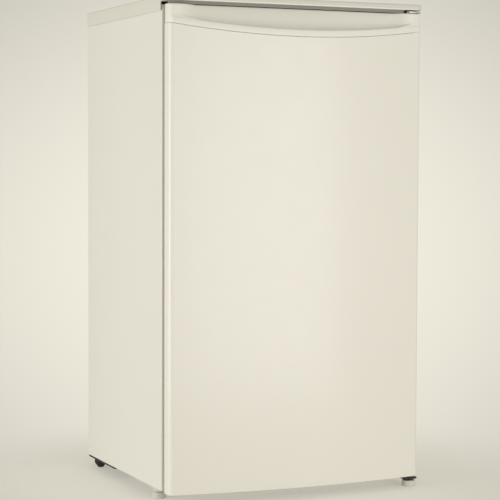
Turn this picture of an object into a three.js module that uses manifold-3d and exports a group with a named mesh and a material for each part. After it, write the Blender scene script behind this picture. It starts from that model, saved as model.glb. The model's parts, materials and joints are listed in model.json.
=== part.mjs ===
// A compact, free-standing single-door refrigerator. Millimetres, +Z up, door facing -Y.
// While it is being built, y = 0 is the cabinet's front plane; the last lines centre the whole
// model on its footprint.
import * as THREE from 'three';
import { mergeVertices } from 'three/addons/utils/BufferGeometryUtils.js';
import Module from 'manifold-3d';

const wasm = await Module();
wasm.setup();

// ---------------------------------------------------------------- driving dimensions
const gap = 0.3;                  // air between pieces that touch

const cabinetWidth = 460;
const cabinetDepth = 380;
const cabinetBottom = 20.5;        // floor to the cabinet's lower edge
const cabinetHeight = 789.5;
const sheet = 1;                  // painted steel sheet
const flange = 16;                // folded edges of the steel sheets
const railHeight = 32;            // steel rail across the foot of the front opening
const railDepth = 62;

const topWall = 37;               // insulation and skins, measured shell to cavity
const sideWall = 38;
const backWall = 38;
const floorWall = 44;
const linerWall = 1.5;
const bayDepth = 122;             // compressor bay under the rear of the cabinet
const bayHeight = 156;
const bayLean = 12;               // how far the bay's front wall leans back

const worktopOverhang = 2;        // past the cabinet's sides
const worktopFront = 34;          // ahead of the cabinet's front plane
const worktopThickness = 10;
const skirtDrop = 24;             // worktop's top face to the lower edge of its skirt
const skirtWall = 1.7;
const worktopCorner = 10;

const doorReveal = 1.5;           // the door stops this far inside the cabinet's sides
const doorGap = 10;               // cabinet front to the door's rear plane, filled by the gasket
const doorEdge = 23.5;            // thickness of the door at its two sides
const doorCrown = 18;             // how far the door's middle bows forward of its sides
const doorCorner = 8;
const doorBottom = 18.5;
const doorTopClearance = 5;       // door top to the worktop's underside
const capEnd = 30;                // depth of the top cap at the door's sides
const capSag = 17;                // extra depth of the cap at the door's middle
const lipProud = 2;
const lipHeight = 14;
const scoopInset = 24;            // plain ends of the cap beside the hand scoop
const scoopTopDepth = 7;          // cap thickness left behind the scoop at its top edge

const hingeInset = 11;            // hinge pin from the door's side
const hingeDepth = 12;            // hinge pin ahead of the door's rear plane
const pinRadius = 3.5;
const pinPlay = 0.3;
const plateThickness = 2.5;

const footRadius = 11.5;
const footBlock = 10.5;           // height of a foot's body, below its stud
const footInset = 15;             // cabinet side to the centre of a foot
const leftFootY = 48;
const studRadius = 4;
const rearFootY = cabinetDepth - 28;
const rearFootRadius = 11;
const rearFootTip = 5;

const shelfGlass = 4;
const upperShelfHeight = 432.5;
const lowerShelfHeight = 294.5;
const shelfFront = 92;
const binDepth = 73;
const binWall = 2.5;
const binPlay = 1;                // each side, between a bin and the dykes that hold it
const drawerWall = 2.5;
const drawerInset = 24;           // each side, cavity wall to drawer, so that it clears the open door

const freezerInset = 16;
const freezerHeight = 146;
const freezerFront = 122;

const coilRuns = 11;
const coilTube = 2.4;
const coilInset = 52;             // cabinet side to the coil's outer bends
const coilStandoff = 14;          // back panel to the tube's centre
const wireReach = 4;              // half thickness of the coil with its wires

const compressorRadius = 47;
const compressorHeight = 118;

// ---------------------------------------------------------------- derived places
const halfWidth = cabinetWidth / 2;
const cabinetTop = cabinetBottom + cabinetHeight;
const panelInside = halfWidth - sheet;
const flangeEdge = halfWidth - flange;
const cavityHalf = halfWidth - sideWall;
const cavityFloor = cabinetBottom + floorWall;
const cavityTop = cabinetTop - topWall;
const cavityBack = cabinetDepth - backWall;
const bayFront = cabinetDepth - bayDepth;
const bayTop = cabinetBottom + bayHeight;
const humpFront = bayFront - floorWall + 8;
const humpTop = bayTop + floorWall;

const plateZ = cabinetTop + 0.5;
const worktopUnder = plateZ + plateThickness + 3.5;
const overhangUnder = worktopUnder - 1.8;
const worktopTop = overhangUnder + worktopThickness;
const worktopHalf = halfWidth + worktopOverhang;
const skirtBottom = worktopTop - skirtDrop;
const worktopRear = cabinetDepth + gap + skirtWall + 1;

const doorHalf = halfWidth - doorReveal;
const doorTop = overhangUnder - doorTopClearance;
const doorRear = -doorGap;
const doorSideFront = doorRear - doorEdge;
const doorFront = doorSideFront - doorCrown;
const capFoot = doorTop - capEnd - capSag;
const hingeX = doorHalf - hingeInset;
const hingeY = doorRear - hingeDepth;
const foamTop = capFoot - 6;

// ---------------------------------------------------------------- materials
const paint = (color, roughness, metalness) => new THREE.MeshStandardMaterial({ color, roughness, metalness });
const white = () => paint(0xece9e1, 0.45, 0.1);
const doorWhite = () => paint(0xf3f0e8, 0.4, 0.1);
const trimGrey = () => paint(0xc9c6bc, 0.5, 0);
const linerWhite = () => paint(0xf5f5f2, 0.35, 0);
const foamYellow = () => paint(0xe6d9a8, 0.9, 0);
const black = () => paint(0x1b1b1c, 0.5, 0.2);
const zinc = () => paint(0xb9bcc0, 0.35, 0.9);
const copper = () => paint(0xb87045, 0.35, 0.9);
const aluminium = () => paint(0xcfd3d6, 0.35, 0.9);
const clear = () => paint(0xdfeef0, 0.1, 0);
const rubberGrey = () => paint(0xb4b2aa, 0.8, 0);
const rubberBlack = () => paint(0x202020, 0.85, 0);

// ---------------------------------------------------------------- shape helpers
const fridge = new THREE.Group();

function add(name, geometry, material) {
  const mesh = new THREE.Mesh(geometry, material);
  mesh.name = name;
  fridge.add(mesh);
  return mesh;
}

function polygon(points) {
  return new THREE.Shape(points.map(([u, v]) => new THREE.Vector2(u, v)));
}

// Extrudes a shape and lays its two axes and its depth on the three given axes.
function extrude(shape, depth, u, v, w, start, segments = 4) {
  const geometry = new THREE.ExtrudeGeometry(shape, { depth, bevelEnabled: false, curveSegments: segments });
  const basis = new THREE.Matrix4().makeBasis(u, v, w).setPosition(w.clone().multiplyScalar(start));
  return geometry.applyMatrix4(basis);
}

const X = new THREE.Vector3(1, 0, 0);
const Y = new THREE.Vector3(0, 1, 0);
const Z = new THREE.Vector3(0, 0, 1);
const backward = new THREE.Vector3(0, -1, 0);

// A plan outline (x, y) raised from one height to another.
const raise = (shape, low, high, segments) => extrude(shape, high - low, X, Y, Z, low, segments);
// A side outline (y, z) run from one x to another.
const run = (shape, left, right, segments) => extrude(shape, right - left, Y, Z, X, left, segments);
// A front outline (x, z) run from the nearer y to the further one.
const sweep = (shape, near, far, segments) => extrude(shape, far - near, X, Z, backward, -far, segments);

function box(x0, x1, y0, y1, z0, z1) {
  const geometry = new THREE.BoxGeometry(x1 - x0, y1 - y0, z1 - z0);
  return geometry.translate((x0 + x1) / 2, (y0 + y1) / 2, (z0 + z1) / 2);
}

function rounded(x0, x1, y0, y1, r) {
  const shape = new THREE.Shape();
  shape.moveTo(x0 + r, y0);
  shape.lineTo(x1 - r, y0);
  shape.absarc(x1 - r, y0 + r, r, -Math.PI / 2, 0);
  shape.lineTo(x1, y1 - r);
  shape.absarc(x1 - r, y1 - r, r, 0, Math.PI / 2);
  shape.lineTo(x0 + r, y1);
  shape.absarc(x0 + r, y1 - r, r, Math.PI / 2, Math.PI);
  shape.lineTo(x0, y0 + r);
  shape.absarc(x0 + r, y0 + r, r, Math.PI, 1.5 * Math.PI);
  return shape;
}

// A turned piece on a vertical axis; its profile is a list of [radius, height].
function turned(profile, x, y, sides = 16) {
  const points = profile.map(([r, z]) => new THREE.Vector2(r, z));
  const geometry = new THREE.LatheGeometry(points, sides);
  return geometry.rotateX(Math.PI / 2).translate(x, y, 0);
}

const rod = (x, y, z0, z1, r, sides = 12) => turned([[0, z0], [r, z0], [r, z1], [0, z1]], x, y, sides);

// The same rod lying along Y.
function rodAlongY(x, z, y0, y1, r, sides = 12) {
  const geometry = new THREE.CylinderGeometry(r, r, y1 - y0, sides);
  return geometry.translate(x, (y0 + y1) / 2, z);
}

function toSolid(geometry) {
  const bare = geometry.clone();
  bare.deleteAttribute('normal');
  bare.deleteAttribute('uv');
  const merged = mergeVertices(bare, 1e-4);
  const vertProperties = new Float32Array(merged.attributes.position.array);
  const triVerts = new Uint32Array(merged.index.array);
  return new wasm.Manifold(new wasm.Mesh({ numProp: 3, vertProperties, triVerts }));
}

function toGeometry(solid) {
  const { vertProperties, triVerts } = solid.getMesh();
  const geometry = new THREE.BufferGeometry();
  geometry.setAttribute('position', new THREE.BufferAttribute(new Float32Array(vertProperties), 3));
  geometry.setIndex(Array.from(triVerts));
  geometry.computeVertexNormals();
  return geometry;
}

const join = (first, ...rest) => toGeometry(rest.reduce((all, g) => all.add(toSolid(g)), toSolid(first)));
const cut = (first, ...rest) => toGeometry(rest.reduce((all, g) => all.subtract(toSolid(g)), toSolid(first)));
const common = (first, second) => toGeometry(toSolid(first).intersect(toSolid(second)));

// A tube bent through the given corners, with round bends of one radius.
class BentPath extends THREE.Curve {
  constructor(corners, bend, bendSteps = 3) {
    super();
    this.knots = [];
    const at = corners.map((c) => new THREE.Vector3(...c));
    for (let i = 0; i < at.length; i += 1) {
      if (i === 0 || i === at.length - 1) {
        const [from, to] = i === 0 ? [at[0], at[1]] : [at[i - 1], at[i]];
        this.knots.push({ point: at[i], tangent: to.clone().sub(from).normalize() });
      } else {
        this.addBend(at[i - 1], at[i], at[i + 1], bend, bendSteps);
      }
    }
  }

  addBend(before, corner, after, bend, bendSteps) {
    const entry = corner.clone().sub(before).normalize();
    const exit = after.clone().sub(corner).normalize();
    const turn = entry.angleTo(exit);
    const reach = bend * Math.tan(turn / 2);
    const start = corner.clone().addScaledVector(entry, -reach);
    const side = exit.clone().addScaledVector(entry, -exit.dot(entry)).normalize();
    for (let k = 0; k <= bendSteps; k += 1) {
      const angle = (turn * k) / bendSteps;
      const point = start.clone().addScaledVector(entry, bend * Math.sin(angle));
      point.addScaledVector(side, bend * (1 - Math.cos(angle)));
      const tangent = entry.clone().multiplyScalar(Math.cos(angle)).addScaledVector(side, Math.sin(angle));
      this.knots.push({ point, tangent });
    }
  }

  knotAt(u) {
    return this.knots[Math.round(u * (this.knots.length - 1))];
  }

  getPointAt(u) {
    return this.knotAt(u).point.clone();
  }

  getTangentAt(u) {
    return this.knotAt(u).tangent.clone();
  }
}

function bentTube(corners, radius, bend, sides = 8, bendSteps = 3) {
  const path = new BentPath(corners, bend, bendSteps);
  const section = new THREE.Shape();
  section.absarc(0, 0, radius, 0, 2 * Math.PI);
  return new THREE.ExtrudeGeometry(section, {
    extrudePath: path,
    steps: path.knots.length - 1,
    curveSegments: sides / 2,
  });
}

// ---------------------------------------------------------------- cabinet shell
// The stepped side outline (y, z) of the insulated body, drawn in by a distance.
function bodyOutline(inset) {
  return polygon([
    [inset + 0.5, cabinetBottom + inset],
    [bayFront - inset, cabinetBottom + inset],
    [bayFront + bayLean - inset, bayTop + inset],
    [cabinetDepth - inset, bayTop + inset],
    [cabinetDepth - inset, cabinetTop - inset],
    [inset + 0.5, cabinetTop - inset],
  ]);
}

// The food space's side outline (y, z), grown outwards by a distance.
function cavityOutline(grow, front) {
  return polygon([
    [front, cavityFloor - grow],
    [humpFront + grow, cavityFloor - grow],
    [humpFront + bayLean + grow, humpTop - grow],
    [cavityBack + grow, humpTop - grow],
    [cavityBack + grow, cavityTop + grow],
    [front, cavityTop + grow],
  ]);
}

// One side of the wrap: the face, a folded front edge and a folded rear edge.
function sidePanel(side) {
  const outline = polygon([
    [halfWidth, 0], [halfWidth, cabinetDepth], [flangeEdge, cabinetDepth],
    [flangeEdge, cabinetDepth - sheet], [panelInside, cabinetDepth - sheet], [panelInside, sheet],
    [flangeEdge, sheet], [flangeEdge, 0],
  ]);
  const panel = raise(outline, cabinetBottom, cabinetTop);
  return side > 0 ? panel : panel.rotateZ(Math.PI).translate(0, cabinetDepth, 0);
}

function topPanel() {
  const folded = polygon([
    [0, cabinetTop], [0, cabinetTop - flange], [sheet, cabinetTop - flange],
    [sheet, cabinetTop - sheet], [cabinetDepth - sheet - gap, cabinetTop - sheet],
    [cabinetDepth - sheet - gap, cabinetTop],
  ]);
  const narrow = run(folded, gap - flangeEdge, flangeEdge - gap);
  const inside = panelInside - gap;
  const wide = box(-inside, inside, sheet + gap, cabinetDepth - sheet - gap, cabinetTop - sheet, cabinetTop);
  return join(narrow, wide);
}

function basePlate() {
  const inner = bayFront + gap;
  const folded = polygon([
    [railDepth + gap, cabinetBottom], [inner, cabinetBottom], [inner + bayLean, bayTop],
    [cabinetDepth - sheet - gap, bayTop], [cabinetDepth - sheet - gap, bayTop + sheet],
    [inner + bayLean - sheet, bayTop + sheet], [inner - sheet, cabinetBottom + sheet],
    [railDepth + gap, cabinetBottom + sheet],
  ]);
  return run(folded, gap - panelInside, panelInside - gap);
}

function frontRail() {
  const angle = polygon([
    [0, cabinetBottom], [railDepth, cabinetBottom], [railDepth, cabinetBottom + sheet],
    [sheet, cabinetBottom + sheet], [sheet, cabinetBottom + railHeight], [0, cabinetBottom + railHeight],
  ]);
  const narrow = run(angle, gap - flangeEdge, flangeEdge - gap);
  const inside = panelInside - gap;
  const wide = box(-inside, inside, sheet + gap, railDepth, cabinetBottom, cabinetBottom + sheet);
  return join(narrow, wide);
}

const hingeScrewX = hingeX - 9;
const hingeScrewYs = [12, 26];
const screwHole = 2.2;
const screwShank = 1.9;

function innerLiner() {
  const shell = run(cavityOutline(linerWall, 0), -cavityHalf - linerWall, cavityHalf + linerWall);
  const space = run(cavityOutline(0, -1), -cavityHalf, cavityHalf);
  const edge = flangeEdge - gap;
  const rimLow = cabinetBottom + railHeight + gap;
  const rimHigh = cabinetTop - flange - gap;
  const rim = box(-edge, edge, 0, linerWall, rimLow, rimHigh);
  return cut(join(shell, rim), space);
}

// Ledges pressed out of the liner's side walls carry the shelves.
const ribReach = 5;
const ribHeights = [lowerShelfHeight, upperShelfHeight];

function ribBoxes() {
  const boxes = [];
  for (const height of ribHeights) {
    for (const side of [-1, 1]) {
      const inner = side * (cavityHalf - ribReach);
      const outer = side * (cavityHalf + linerWall / 2);
      const [x0, x1] = [Math.min(inner, outer), Math.max(inner, outer)];
      boxes.push(box(x0, x1, shelfFront - 10, cavityBack + linerWall / 2, height - 6, height - gap));
    }
  }
  return boxes;
}

add('left_side_panel', sidePanel(-1), white());
add('right_side_panel', sidePanel(1), white());

const topHoles = hingeScrewYs.map((y) => rod(hingeScrewX, y, cabinetTop - 3, cabinetTop + 3, screwHole, 8));
add('cabinet_top_panel', cut(topPanel(), ...topHoles), white());

const backPanelHalf = flangeEdge - gap;
const worktopScrewX = halfWidth - 80;
const worktopScrewZ = (skirtBottom + cabinetTop - sheet) / 2;
const backHoles = [-1, 1].map((s) => rodAlongY(s * worktopScrewX, worktopScrewZ, cabinetDepth - 3,
  cabinetDepth + 3, screwHole, 8));
add('back_panel', cut(box(-backPanelHalf, backPanelHalf, cabinetDepth - sheet, cabinetDepth, bayTop,
  cabinetTop - sheet - gap), ...backHoles), trimGrey());

const railScrewHoles = hingeScrewYs.map((y) => rod(hingeScrewX, y, cabinetBottom - 3, cabinetBottom + 3,
  screwHole, 8));
const footX = halfWidth - footInset;
const leftStudHole = rod(-footX, leftFootY, cabinetBottom - 3, cabinetBottom + 3, studRadius + gap);
add('base_plate', basePlate(), zinc());
add('lower_front_rail', cut(frontRail(), leftStudHole, ...railScrewHoles), white());

const linerShell = join(innerLiner(), ...ribBoxes());
add('inner_liner', linerShell, linerWhite());

const foamBlock = run(bodyOutline(sheet + gap), gap - panelInside, panelInside - gap);
const foamFree = run(cavityOutline(linerWall + gap, -5), -cavityHalf - linerWall - gap,
  cavityHalf + linerWall + gap);
const foamRim = box(-panelInside, panelInside, -5, linerWall + gap, 0, worktopTop);
const screwRoom = (z0, z1) => hingeScrewYs.map((y) => rod(hingeScrewX, y, z0, z1, screwHole, 8));
const rearScrewRoom = [-1, 1].map((s) => rodAlongY(s * worktopScrewX, worktopScrewZ, cabinetDepth - 9,
  cabinetDepth + 3, screwHole, 8));
add('cabinet_foam', cut(foamBlock, foamFree, foamRim, ...screwRoom(cabinetTop - 12, cabinetTop),
  ...screwRoom(cabinetBottom, cabinetBottom + 12), ...rearScrewRoom), foamYellow());

// ---------------------------------------------------------------- worktop
function worktop() {
  const plan = rounded(-worktopHalf, worktopHalf, -worktopFront, worktopRear, worktopCorner);
  const plate = raise(plan, worktopUnder, worktopTop, 6);
  const nose = common(raise(plan, overhangUnder, worktopUnder + 1, 6),
    box(-worktopHalf, worktopHalf, -worktopFront, -gap, overhangUnder - 1, worktopUnder + 1));
  const inner = halfWidth + gap;
  const skirtBlock = common(raise(plan, skirtBottom, worktopUnder + 1, 6),
    box(-worktopHalf, worktopHalf, 0, worktopRear, skirtBottom - 1, worktopUnder + 2));
  const skirt = cut(skirtBlock, box(-inner, inner, -1, cabinetDepth + gap, skirtBottom - 1, worktopUnder + 2));
  const ribHalf = halfWidth - 50;
  const ribs = [60, 200, 340].map((y) => box(-ribHalf, ribHalf, y, y + 3, cabinetTop + gap, worktopUnder + 1));
  const holes = [-1, 1].map((s) => rodAlongY(s * worktopScrewX, worktopScrewZ, cabinetDepth - 3,
    worktopRear + 3, screwHole, 8));
  return cut(join(plate, nose, skirt, ...ribs), ...holes);
}
add('worktop', worktop(), trimGrey());

// An upright pan-head screw seated at a height; direction is 1 with its head up and -1 with it down.
function panScrew(x, y, seat, direction, length) {
  const head = 4;
  const end = seat - direction * length;
  const crown = seat + direction * 1.8;
  const profile = [[0, end], [screwShank, end], [screwShank, seat], [head, seat],
    [head * 0.7, crown], [0, crown]];
  return turned(direction > 0 ? profile : profile.reverse(), x, y, 8);
}

for (const [index, side] of [[1, -1], [2, 1]]) {
  const seat = worktopRear + gap;
  const screw = panScrew(0, 0, 0, 1, seat - cabinetDepth + 6);
  screw.rotateX(-Math.PI / 2).translate(side * worktopScrewX, seat, worktopScrewZ);
  add(`worktop_screw_${index}`, screw, zinc());
}

// ---------------------------------------------------------------- hinges
const hingeOutline = rounded(hingeX - 15, halfWidth - 1, hingeY - 12, 34, 6);

function topHinge() {
  const plate = raise(hingeOutline, plateZ, plateZ + plateThickness, 3);
  const pin = rod(hingeX, hingeY, doorTop - 14, plateZ + 1, pinRadius, 16);
  const holes = hingeScrewYs.map((y) => rod(hingeScrewX, y, plateZ - 2, plateZ + 5, screwHole, 8));
  return cut(join(plate, pin), ...holes);
}

const lowerPlateTop = doorBottom - 2.2;
const lowerPlateZ = lowerPlateTop - plateThickness;
const nutRadius = 8;
const nutFoot = footBlock + 0.6;

function bottomHinge() {
  const plate = raise(hingeOutline, lowerPlateZ, lowerPlateTop, 3);
  const pin = rod(hingeX, hingeY, lowerPlateTop - 1, doorBottom + 16, pinRadius, 16);
  const nut = rod(hingeX, hingeY, nutFoot, lowerPlateZ + 1, nutRadius, 6);
  const pad = box(hingeX - 14, halfWidth - 2, 4, 33, lowerPlateTop - 1, cabinetBottom - gap);
  const holes = hingeScrewYs.map((y) => rod(hingeScrewX, y, lowerPlateZ - 2, cabinetBottom + 1, screwHole, 8));
  const thread = rod(hingeX, hingeY, nutFoot - 1, lowerPlateZ, studRadius + gap);
  return cut(join(plate, pin, nut, pad), thread, ...holes);
}

add('top_hinge_bracket', topHinge(), zinc());
add('bottom_hinge_bracket', bottomHinge(), black());
hingeScrewYs.forEach((y, i) => {
  add(`top_hinge_screw_${i + 1}`, panScrew(hingeScrewX, y, plateZ + plateThickness + gap, 1, 9), zinc());
  add(`bottom_hinge_screw_${i + 1}`, panScrew(hingeScrewX, y, lowerPlateZ - gap, -1, 12), zinc());
});

// ---------------------------------------------------------------- feet
function levellingFoot(x, y, studTop) {
  return turned([[0, 0], [footRadius - 1, 0], [footRadius, 1], [footRadius, footBlock - 1],
    [footRadius - 1, footBlock], [studRadius, footBlock], [studRadius, studTop], [0, studTop]], x, y, 20);
}
add('front_left_foot', levellingFoot(-footX, leftFootY, cabinetBottom + sheet), trimGrey());
add('front_right_foot', levellingFoot(hingeX, hingeY, lowerPlateZ - 1), trimGrey());

const leftCollar = cut(rod(-footX, leftFootY, nutFoot, cabinetBottom - gap, footRadius - 1, 16),
  rod(-footX, leftFootY, nutFoot - 1, cabinetBottom, studRadius + gap));
add('front_left_foot_collar', leftCollar, trimGrey());

const baseLow = cabinetBottom - 4;
const rearFootTop = baseLow - gap;
for (const [name, side] of [['rear_left_foot', -1], ['rear_right_foot', 1]]) {
  add(name, turned([[0, 0], [rearFootTip, 0], [rearFootRadius, rearFootTop / 2], [rearFootRadius, rearFootTop],
    [0, rearFootTop]], side * footX, rearFootY, 16), rubberBlack());
}

// ---------------------------------------------------------------- machine bay
const compressorX = 62;
const compressorY = bayFront + bayLean + compressorRadius + 12;
const baseThickness = 1.5;
const grommetHeight = 10;
const mountX = 60;
const mountY = 34;
const glandX = -130;
const glandZ = baseLow + 30;

function compressorBase() {
  const half = panelInside - gap;
  const front = bayFront - 22;
  const plate = box(-half, half, front, cabinetDepth - 2, baseLow, baseLow + baseThickness);
  const lip = box(-half, half, cabinetDepth - 2 - baseThickness, cabinetDepth - 2, baseLow, baseLow + 16);
  const riser = box(-half, half, front, front + baseThickness, baseLow, cabinetBottom - gap);
  const tab = box(glandX - 20, glandX + 20, cabinetDepth - 2 - baseThickness, cabinetDepth - 2, baseLow, glandZ + 14);
  const inlet = rodAlongY(glandX, glandZ, cabinetDepth - 10, cabinetDepth + 4, 8 + gap, 16);
  return cut(join(plate, lip, riser, tab), inlet);
}
add('compressor_base', compressorBase(), black());

const glandProfile = [[4, -6], [8, -6], [8, 0], [11, 0], [11, 3], [4, 3], [4, -6]];
const gland = new THREE.LatheGeometry(glandProfile.map(([r, h]) => new THREE.Vector2(r, h)), 16);
gland.translate(glandX, cabinetDepth - 2 + gap, glandZ);
add('cord_gland', gland, rubberBlack());

const grommetFoot = baseLow + baseThickness + gap;
const shellFoot = grommetFoot + grommetHeight + gap;
for (const [i, [sx, sy]] of [[-1, -1], [1, -1], [-1, 1], [1, 1]].entries()) {
  add(`compressor_grommet_${i + 1}`, rod(compressorX + sx * mountX, compressorY + sy * mountY, grommetFoot,
    grommetFoot + grommetHeight, 8, 12), rubberBlack());
}

function compressor() {
  const r = compressorRadius;
  const z = shellFoot;
  const h = compressorHeight;
  const shell = turned([[0, z], [r - 12, z + 1], [r - 2, z + 14], [r - 2, z + 60], [r, z + 60], [r, z + 66],
    [r - 3, z + 66], [r - 3, z + h - 22], [r - 14, z + h - 6], [0, z + h]], compressorX, compressorY, 24);
  const feet = raise(rounded(compressorX - mountX - 10, compressorX + mountX + 10, compressorY - mountY - 8,
    compressorY + mountY + 8, 8), z, z + 3, 3);
  return join(feet, shell);
}
add('compressor', compressor(), black());

const coverRight = compressorX - compressorRadius - gap;
add('compressor_terminal_cover', sweep(rounded(coverRight - 30, coverRight, shellFoot + 20, shellFoot + 74, 6),
  compressorY - 24, compressorY + 24, 3), black());

const panFloor = shellFoot + compressorHeight + gap;
function evaporationPan() {
  const outer = rounded(compressorX - 56, compressorX + 56, compressorY - 44, compressorY + 44, 10);
  const inner = rounded(compressorX - 54, compressorX + 54, compressorY - 42, compressorY + 42, 8);
  return cut(raise(outer, panFloor, panFloor + 14, 3), raise(inner, panFloor + 2, panFloor + 15, 3));
}
add('evaporation_pan', evaporationPan(), trimGrey());

// ---------------------------------------------------------------- condenser
const coilY = cabinetDepth + coilStandoff;
const coilHalf = halfWidth - coilInset;
const coilLow = bayTop + 34;
const coilHigh = skirtBottom - 42;
const coilPitch = (coilHigh - coilLow) / (coilRuns - 1);
const coilTail = 60;              // the coil's two ends stop this far short of its bends
const stripX = 120;
const stripHalf = 6;

function condenser() {
  const corners = [[coilHalf - coilTail, coilY, coilLow]];
  for (let i = 0; i < coilRuns; i += 1) {
    const side = i % 2 === 0 ? -1 : 1;
    const z = coilLow + i * coilPitch;
    if (i < coilRuns - 1) {
      corners.push([side * coilHalf, coilY, z], [side * coilHalf, coilY, z + coilPitch]);
    } else {
      corners.push([side * (coilHalf - coilTail), coilY, z]);
    }
  }
  const tube = bentTube(corners, coilTube, coilPitch / 2 - 0.5, 6, 3);
  const strips = [-stripX, 0, stripX].map((x) => box(x - stripHalf, x + stripHalf, coilY - wireReach,
    coilY + wireReach, coilLow - 8, coilHigh + 8));
  return join(tube, ...strips);
}
add('condenser_coil', condenser(), black());

for (const [name, side] of [['condenser_left_bracket', -1], ['condenser_right_bracket', 1]]) {
  const x = side * stripX;
  add(name, box(x - 8, x + 8, cabinetDepth + gap, coilY - wireReach - gap, coilHigh - 60, coilHigh - 20), black());
}

const pipe = 3;
const dischargeX = compressorX + compressorRadius + 26;
add('discharge_pipe', bentTube([
  [compressorX + compressorRadius + gap, compressorY, shellFoot + 90],
  [dischargeX, compressorY, shellFoot + 90],
  [dischargeX, coilY, shellFoot + 90],
  [dischargeX, coilY, coilLow - 14],
], pipe, 9), copper());

const drierX = -118;
const drierLow = baseLow + 58;
const drierProfile = [[0, 0], [3, 0], [3, 10], [8, 18], [8, 68], [3, 78], [3, 88], [0, 88]];
add('filter_drier', turned(drierProfile.map(([r, h]) => [r, drierLow + h]), drierX, cabinetDepth - 22, 14), copper());

add('suction_pipe', bentTube([
  [compressorX - 12, compressorY - compressorRadius - gap - 1, shellFoot + 40],
  [compressorX - 12, compressorY - compressorRadius - 9, shellFoot + 40],
  [compressorX - 90, compressorY - compressorRadius - 9, shellFoot + 40],
  [compressorX - 90, compressorY - compressorRadius - 9, bayTop - 16],
  [compressorX - 90, compressorY + 20, bayTop - 16],
  [compressorX - 90, compressorY + 20, bayTop - gap],
], pipe, 4), copper());

// ---------------------------------------------------------------- food space
const shelfHalf = cavityHalf - 0.7;
for (const [name, height] of [['upper_shelf', upperShelfHeight], ['lower_shelf', lowerShelfHeight]]) {
  const back = cavityBack - 3;
  add(`${name}_glass`, box(-shelfHalf, shelfHalf, shelfFront + 8 + gap, back, height, height + shelfGlass), clear());
  const trim = polygon([
    [shelfFront, height], [shelfFront + 8, height], [shelfFront + 8, height + shelfGlass],
    [shelfFront + 16, height + shelfGlass + gap], [shelfFront + 16, height + shelfGlass + 3],
    [shelfFront, height + shelfGlass + 3],
  ]);
  add(`${name}_trim`, run(trim, -shelfHalf, shelfHalf), linerWhite());
}

const drawerHalf = cavityHalf - drawerInset;
const crisperTop = humpTop - 12;
const crisperBack = humpFront - 4;
add('crisper_cover', box(-shelfHalf, shelfHalf, shelfFront, cavityBack - 3, humpTop + gap, humpTop + gap + shelfGlass),
  clear());

// An open-topped moulded box with even walls.
function tub(half, y0, y1, z0, z1, wall, corner) {
  const outer = raise(rounded(-half, half, y0, y1, corner), z0, z1, 3);
  const inner = raise(rounded(-half + wall, half - wall, y0 + wall, y1 - wall, corner - wall / 2),
    z0 + wall, z1 + 1, 3);
  return cut(outer, inner);
}

add('crisper_drawer', tub(drawerHalf, shelfFront, crisperBack, cavityFloor + 1, crisperTop, drawerWall, 10), clear());

const freezerHalf = cavityHalf - freezerInset;
const freezerTop = cavityTop - 2;
const freezerFloor = freezerTop - freezerHeight;
const freezerBack = cavityBack - 12;
const freezerWall = 2;

function freezerBox() {
  const outer = box(-freezerHalf, freezerHalf, freezerFront, freezerBack, freezerFloor, freezerTop);
  const inner = box(-freezerHalf + freezerWall, freezerHalf - freezerWall, freezerFront - 1,
    freezerBack - freezerWall, freezerFloor + freezerWall, freezerTop - freezerWall);
  return cut(outer, inner);
}
add('freezer_box', freezerBox(), aluminium());

const flapRear = freezerFront - 1;
const flapThickness = 9;
add('freezer_door', sweep(rounded(-freezerHalf, freezerHalf, freezerFloor, freezerTop - 1, 6),
  flapRear - flapThickness, flapRear, 3), clear());

const trayTop = freezerFloor - 4;
add('drip_tray', tub(drawerHalf, freezerFront - 8, freezerBack, trayTop - 16, trayTop, 2, 8), linerWhite());

const thermostatTop = trayTop - 20;
const thermostatLow = thermostatTop - 52;
const thermostatFront = freezerFront + 10;
const thermostatRight = cavityHalf - gap;
const thermostatWidth = 46;
add('thermostat_housing', sweep(rounded(thermostatRight - thermostatWidth, thermostatRight, thermostatLow,
  thermostatTop, 8), thermostatFront, thermostatFront + 110, 3), linerWhite());

const knobX = thermostatRight - thermostatWidth / 2;
const knobZ = (thermostatLow + thermostatTop) / 2;
const knobDepth = 11;
const knob = new THREE.CylinderGeometry(14, 16, knobDepth, 20);
knob.rotateX(Math.PI);
knob.translate(knobX, thermostatFront - 0.5 - knobDepth / 2, knobZ);
const knobGrip = box(knobX - 2, knobX + 2, thermostatFront - 16, thermostatFront - 10, knobZ - 13, knobZ + 13);
add('thermostat_knob', join(knob, knobGrip), trimGrey());

// ---------------------------------------------------------------- door
// The door's plan outline: straight rear, rounded front corners and a bowed front.
function doorOutline(half, rear, sideFront, crown, corner) {
  const shape = new THREE.Shape();
  const chord = half - corner;
  shape.moveTo(-half, rear);
  shape.lineTo(-half, sideFront + corner);
  const radius = (chord * chord + crown * crown) / (2 * crown);
  const spread = Math.asin(chord / radius);
  shape.absarc(-half + corner, sideFront + corner, corner, Math.PI, 1.5 * Math.PI);
  shape.absarc(0, sideFront - crown + radius, radius, -Math.PI / 2 - spread, -Math.PI / 2 + spread);
  shape.absarc(half - corner, sideFront + corner, corner, -Math.PI / 2, 0);
  shape.lineTo(half, rear);
  return shape;
}

const crownSegments = 5;

// Everything above (or below) the cap's sagging lower edge, as a thick slab across the door.
function capSlab(lift, above) {
  const chord = doorHalf + 6;
  const radius = (doorHalf * doorHalf + capSag * capSag) / (2 * capSag);
  const spread = Math.asin(chord / radius);
  const shape = new THREE.Shape();
  shape.absarc(0, capFoot + lift + radius, radius, -Math.PI / 2 - spread, -Math.PI / 2 + spread);
  const end = above ? worktopTop + 20 : 0;
  shape.lineTo(chord, end);
  shape.lineTo(-chord, end);
  return sweep(shape, doorFront - 20, 20, 8);
}

const skinTopGap = 0.4;
const seam = 1;
const linerSheet = 2;
const capRear = doorRear - linerSheet - gap;

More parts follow.
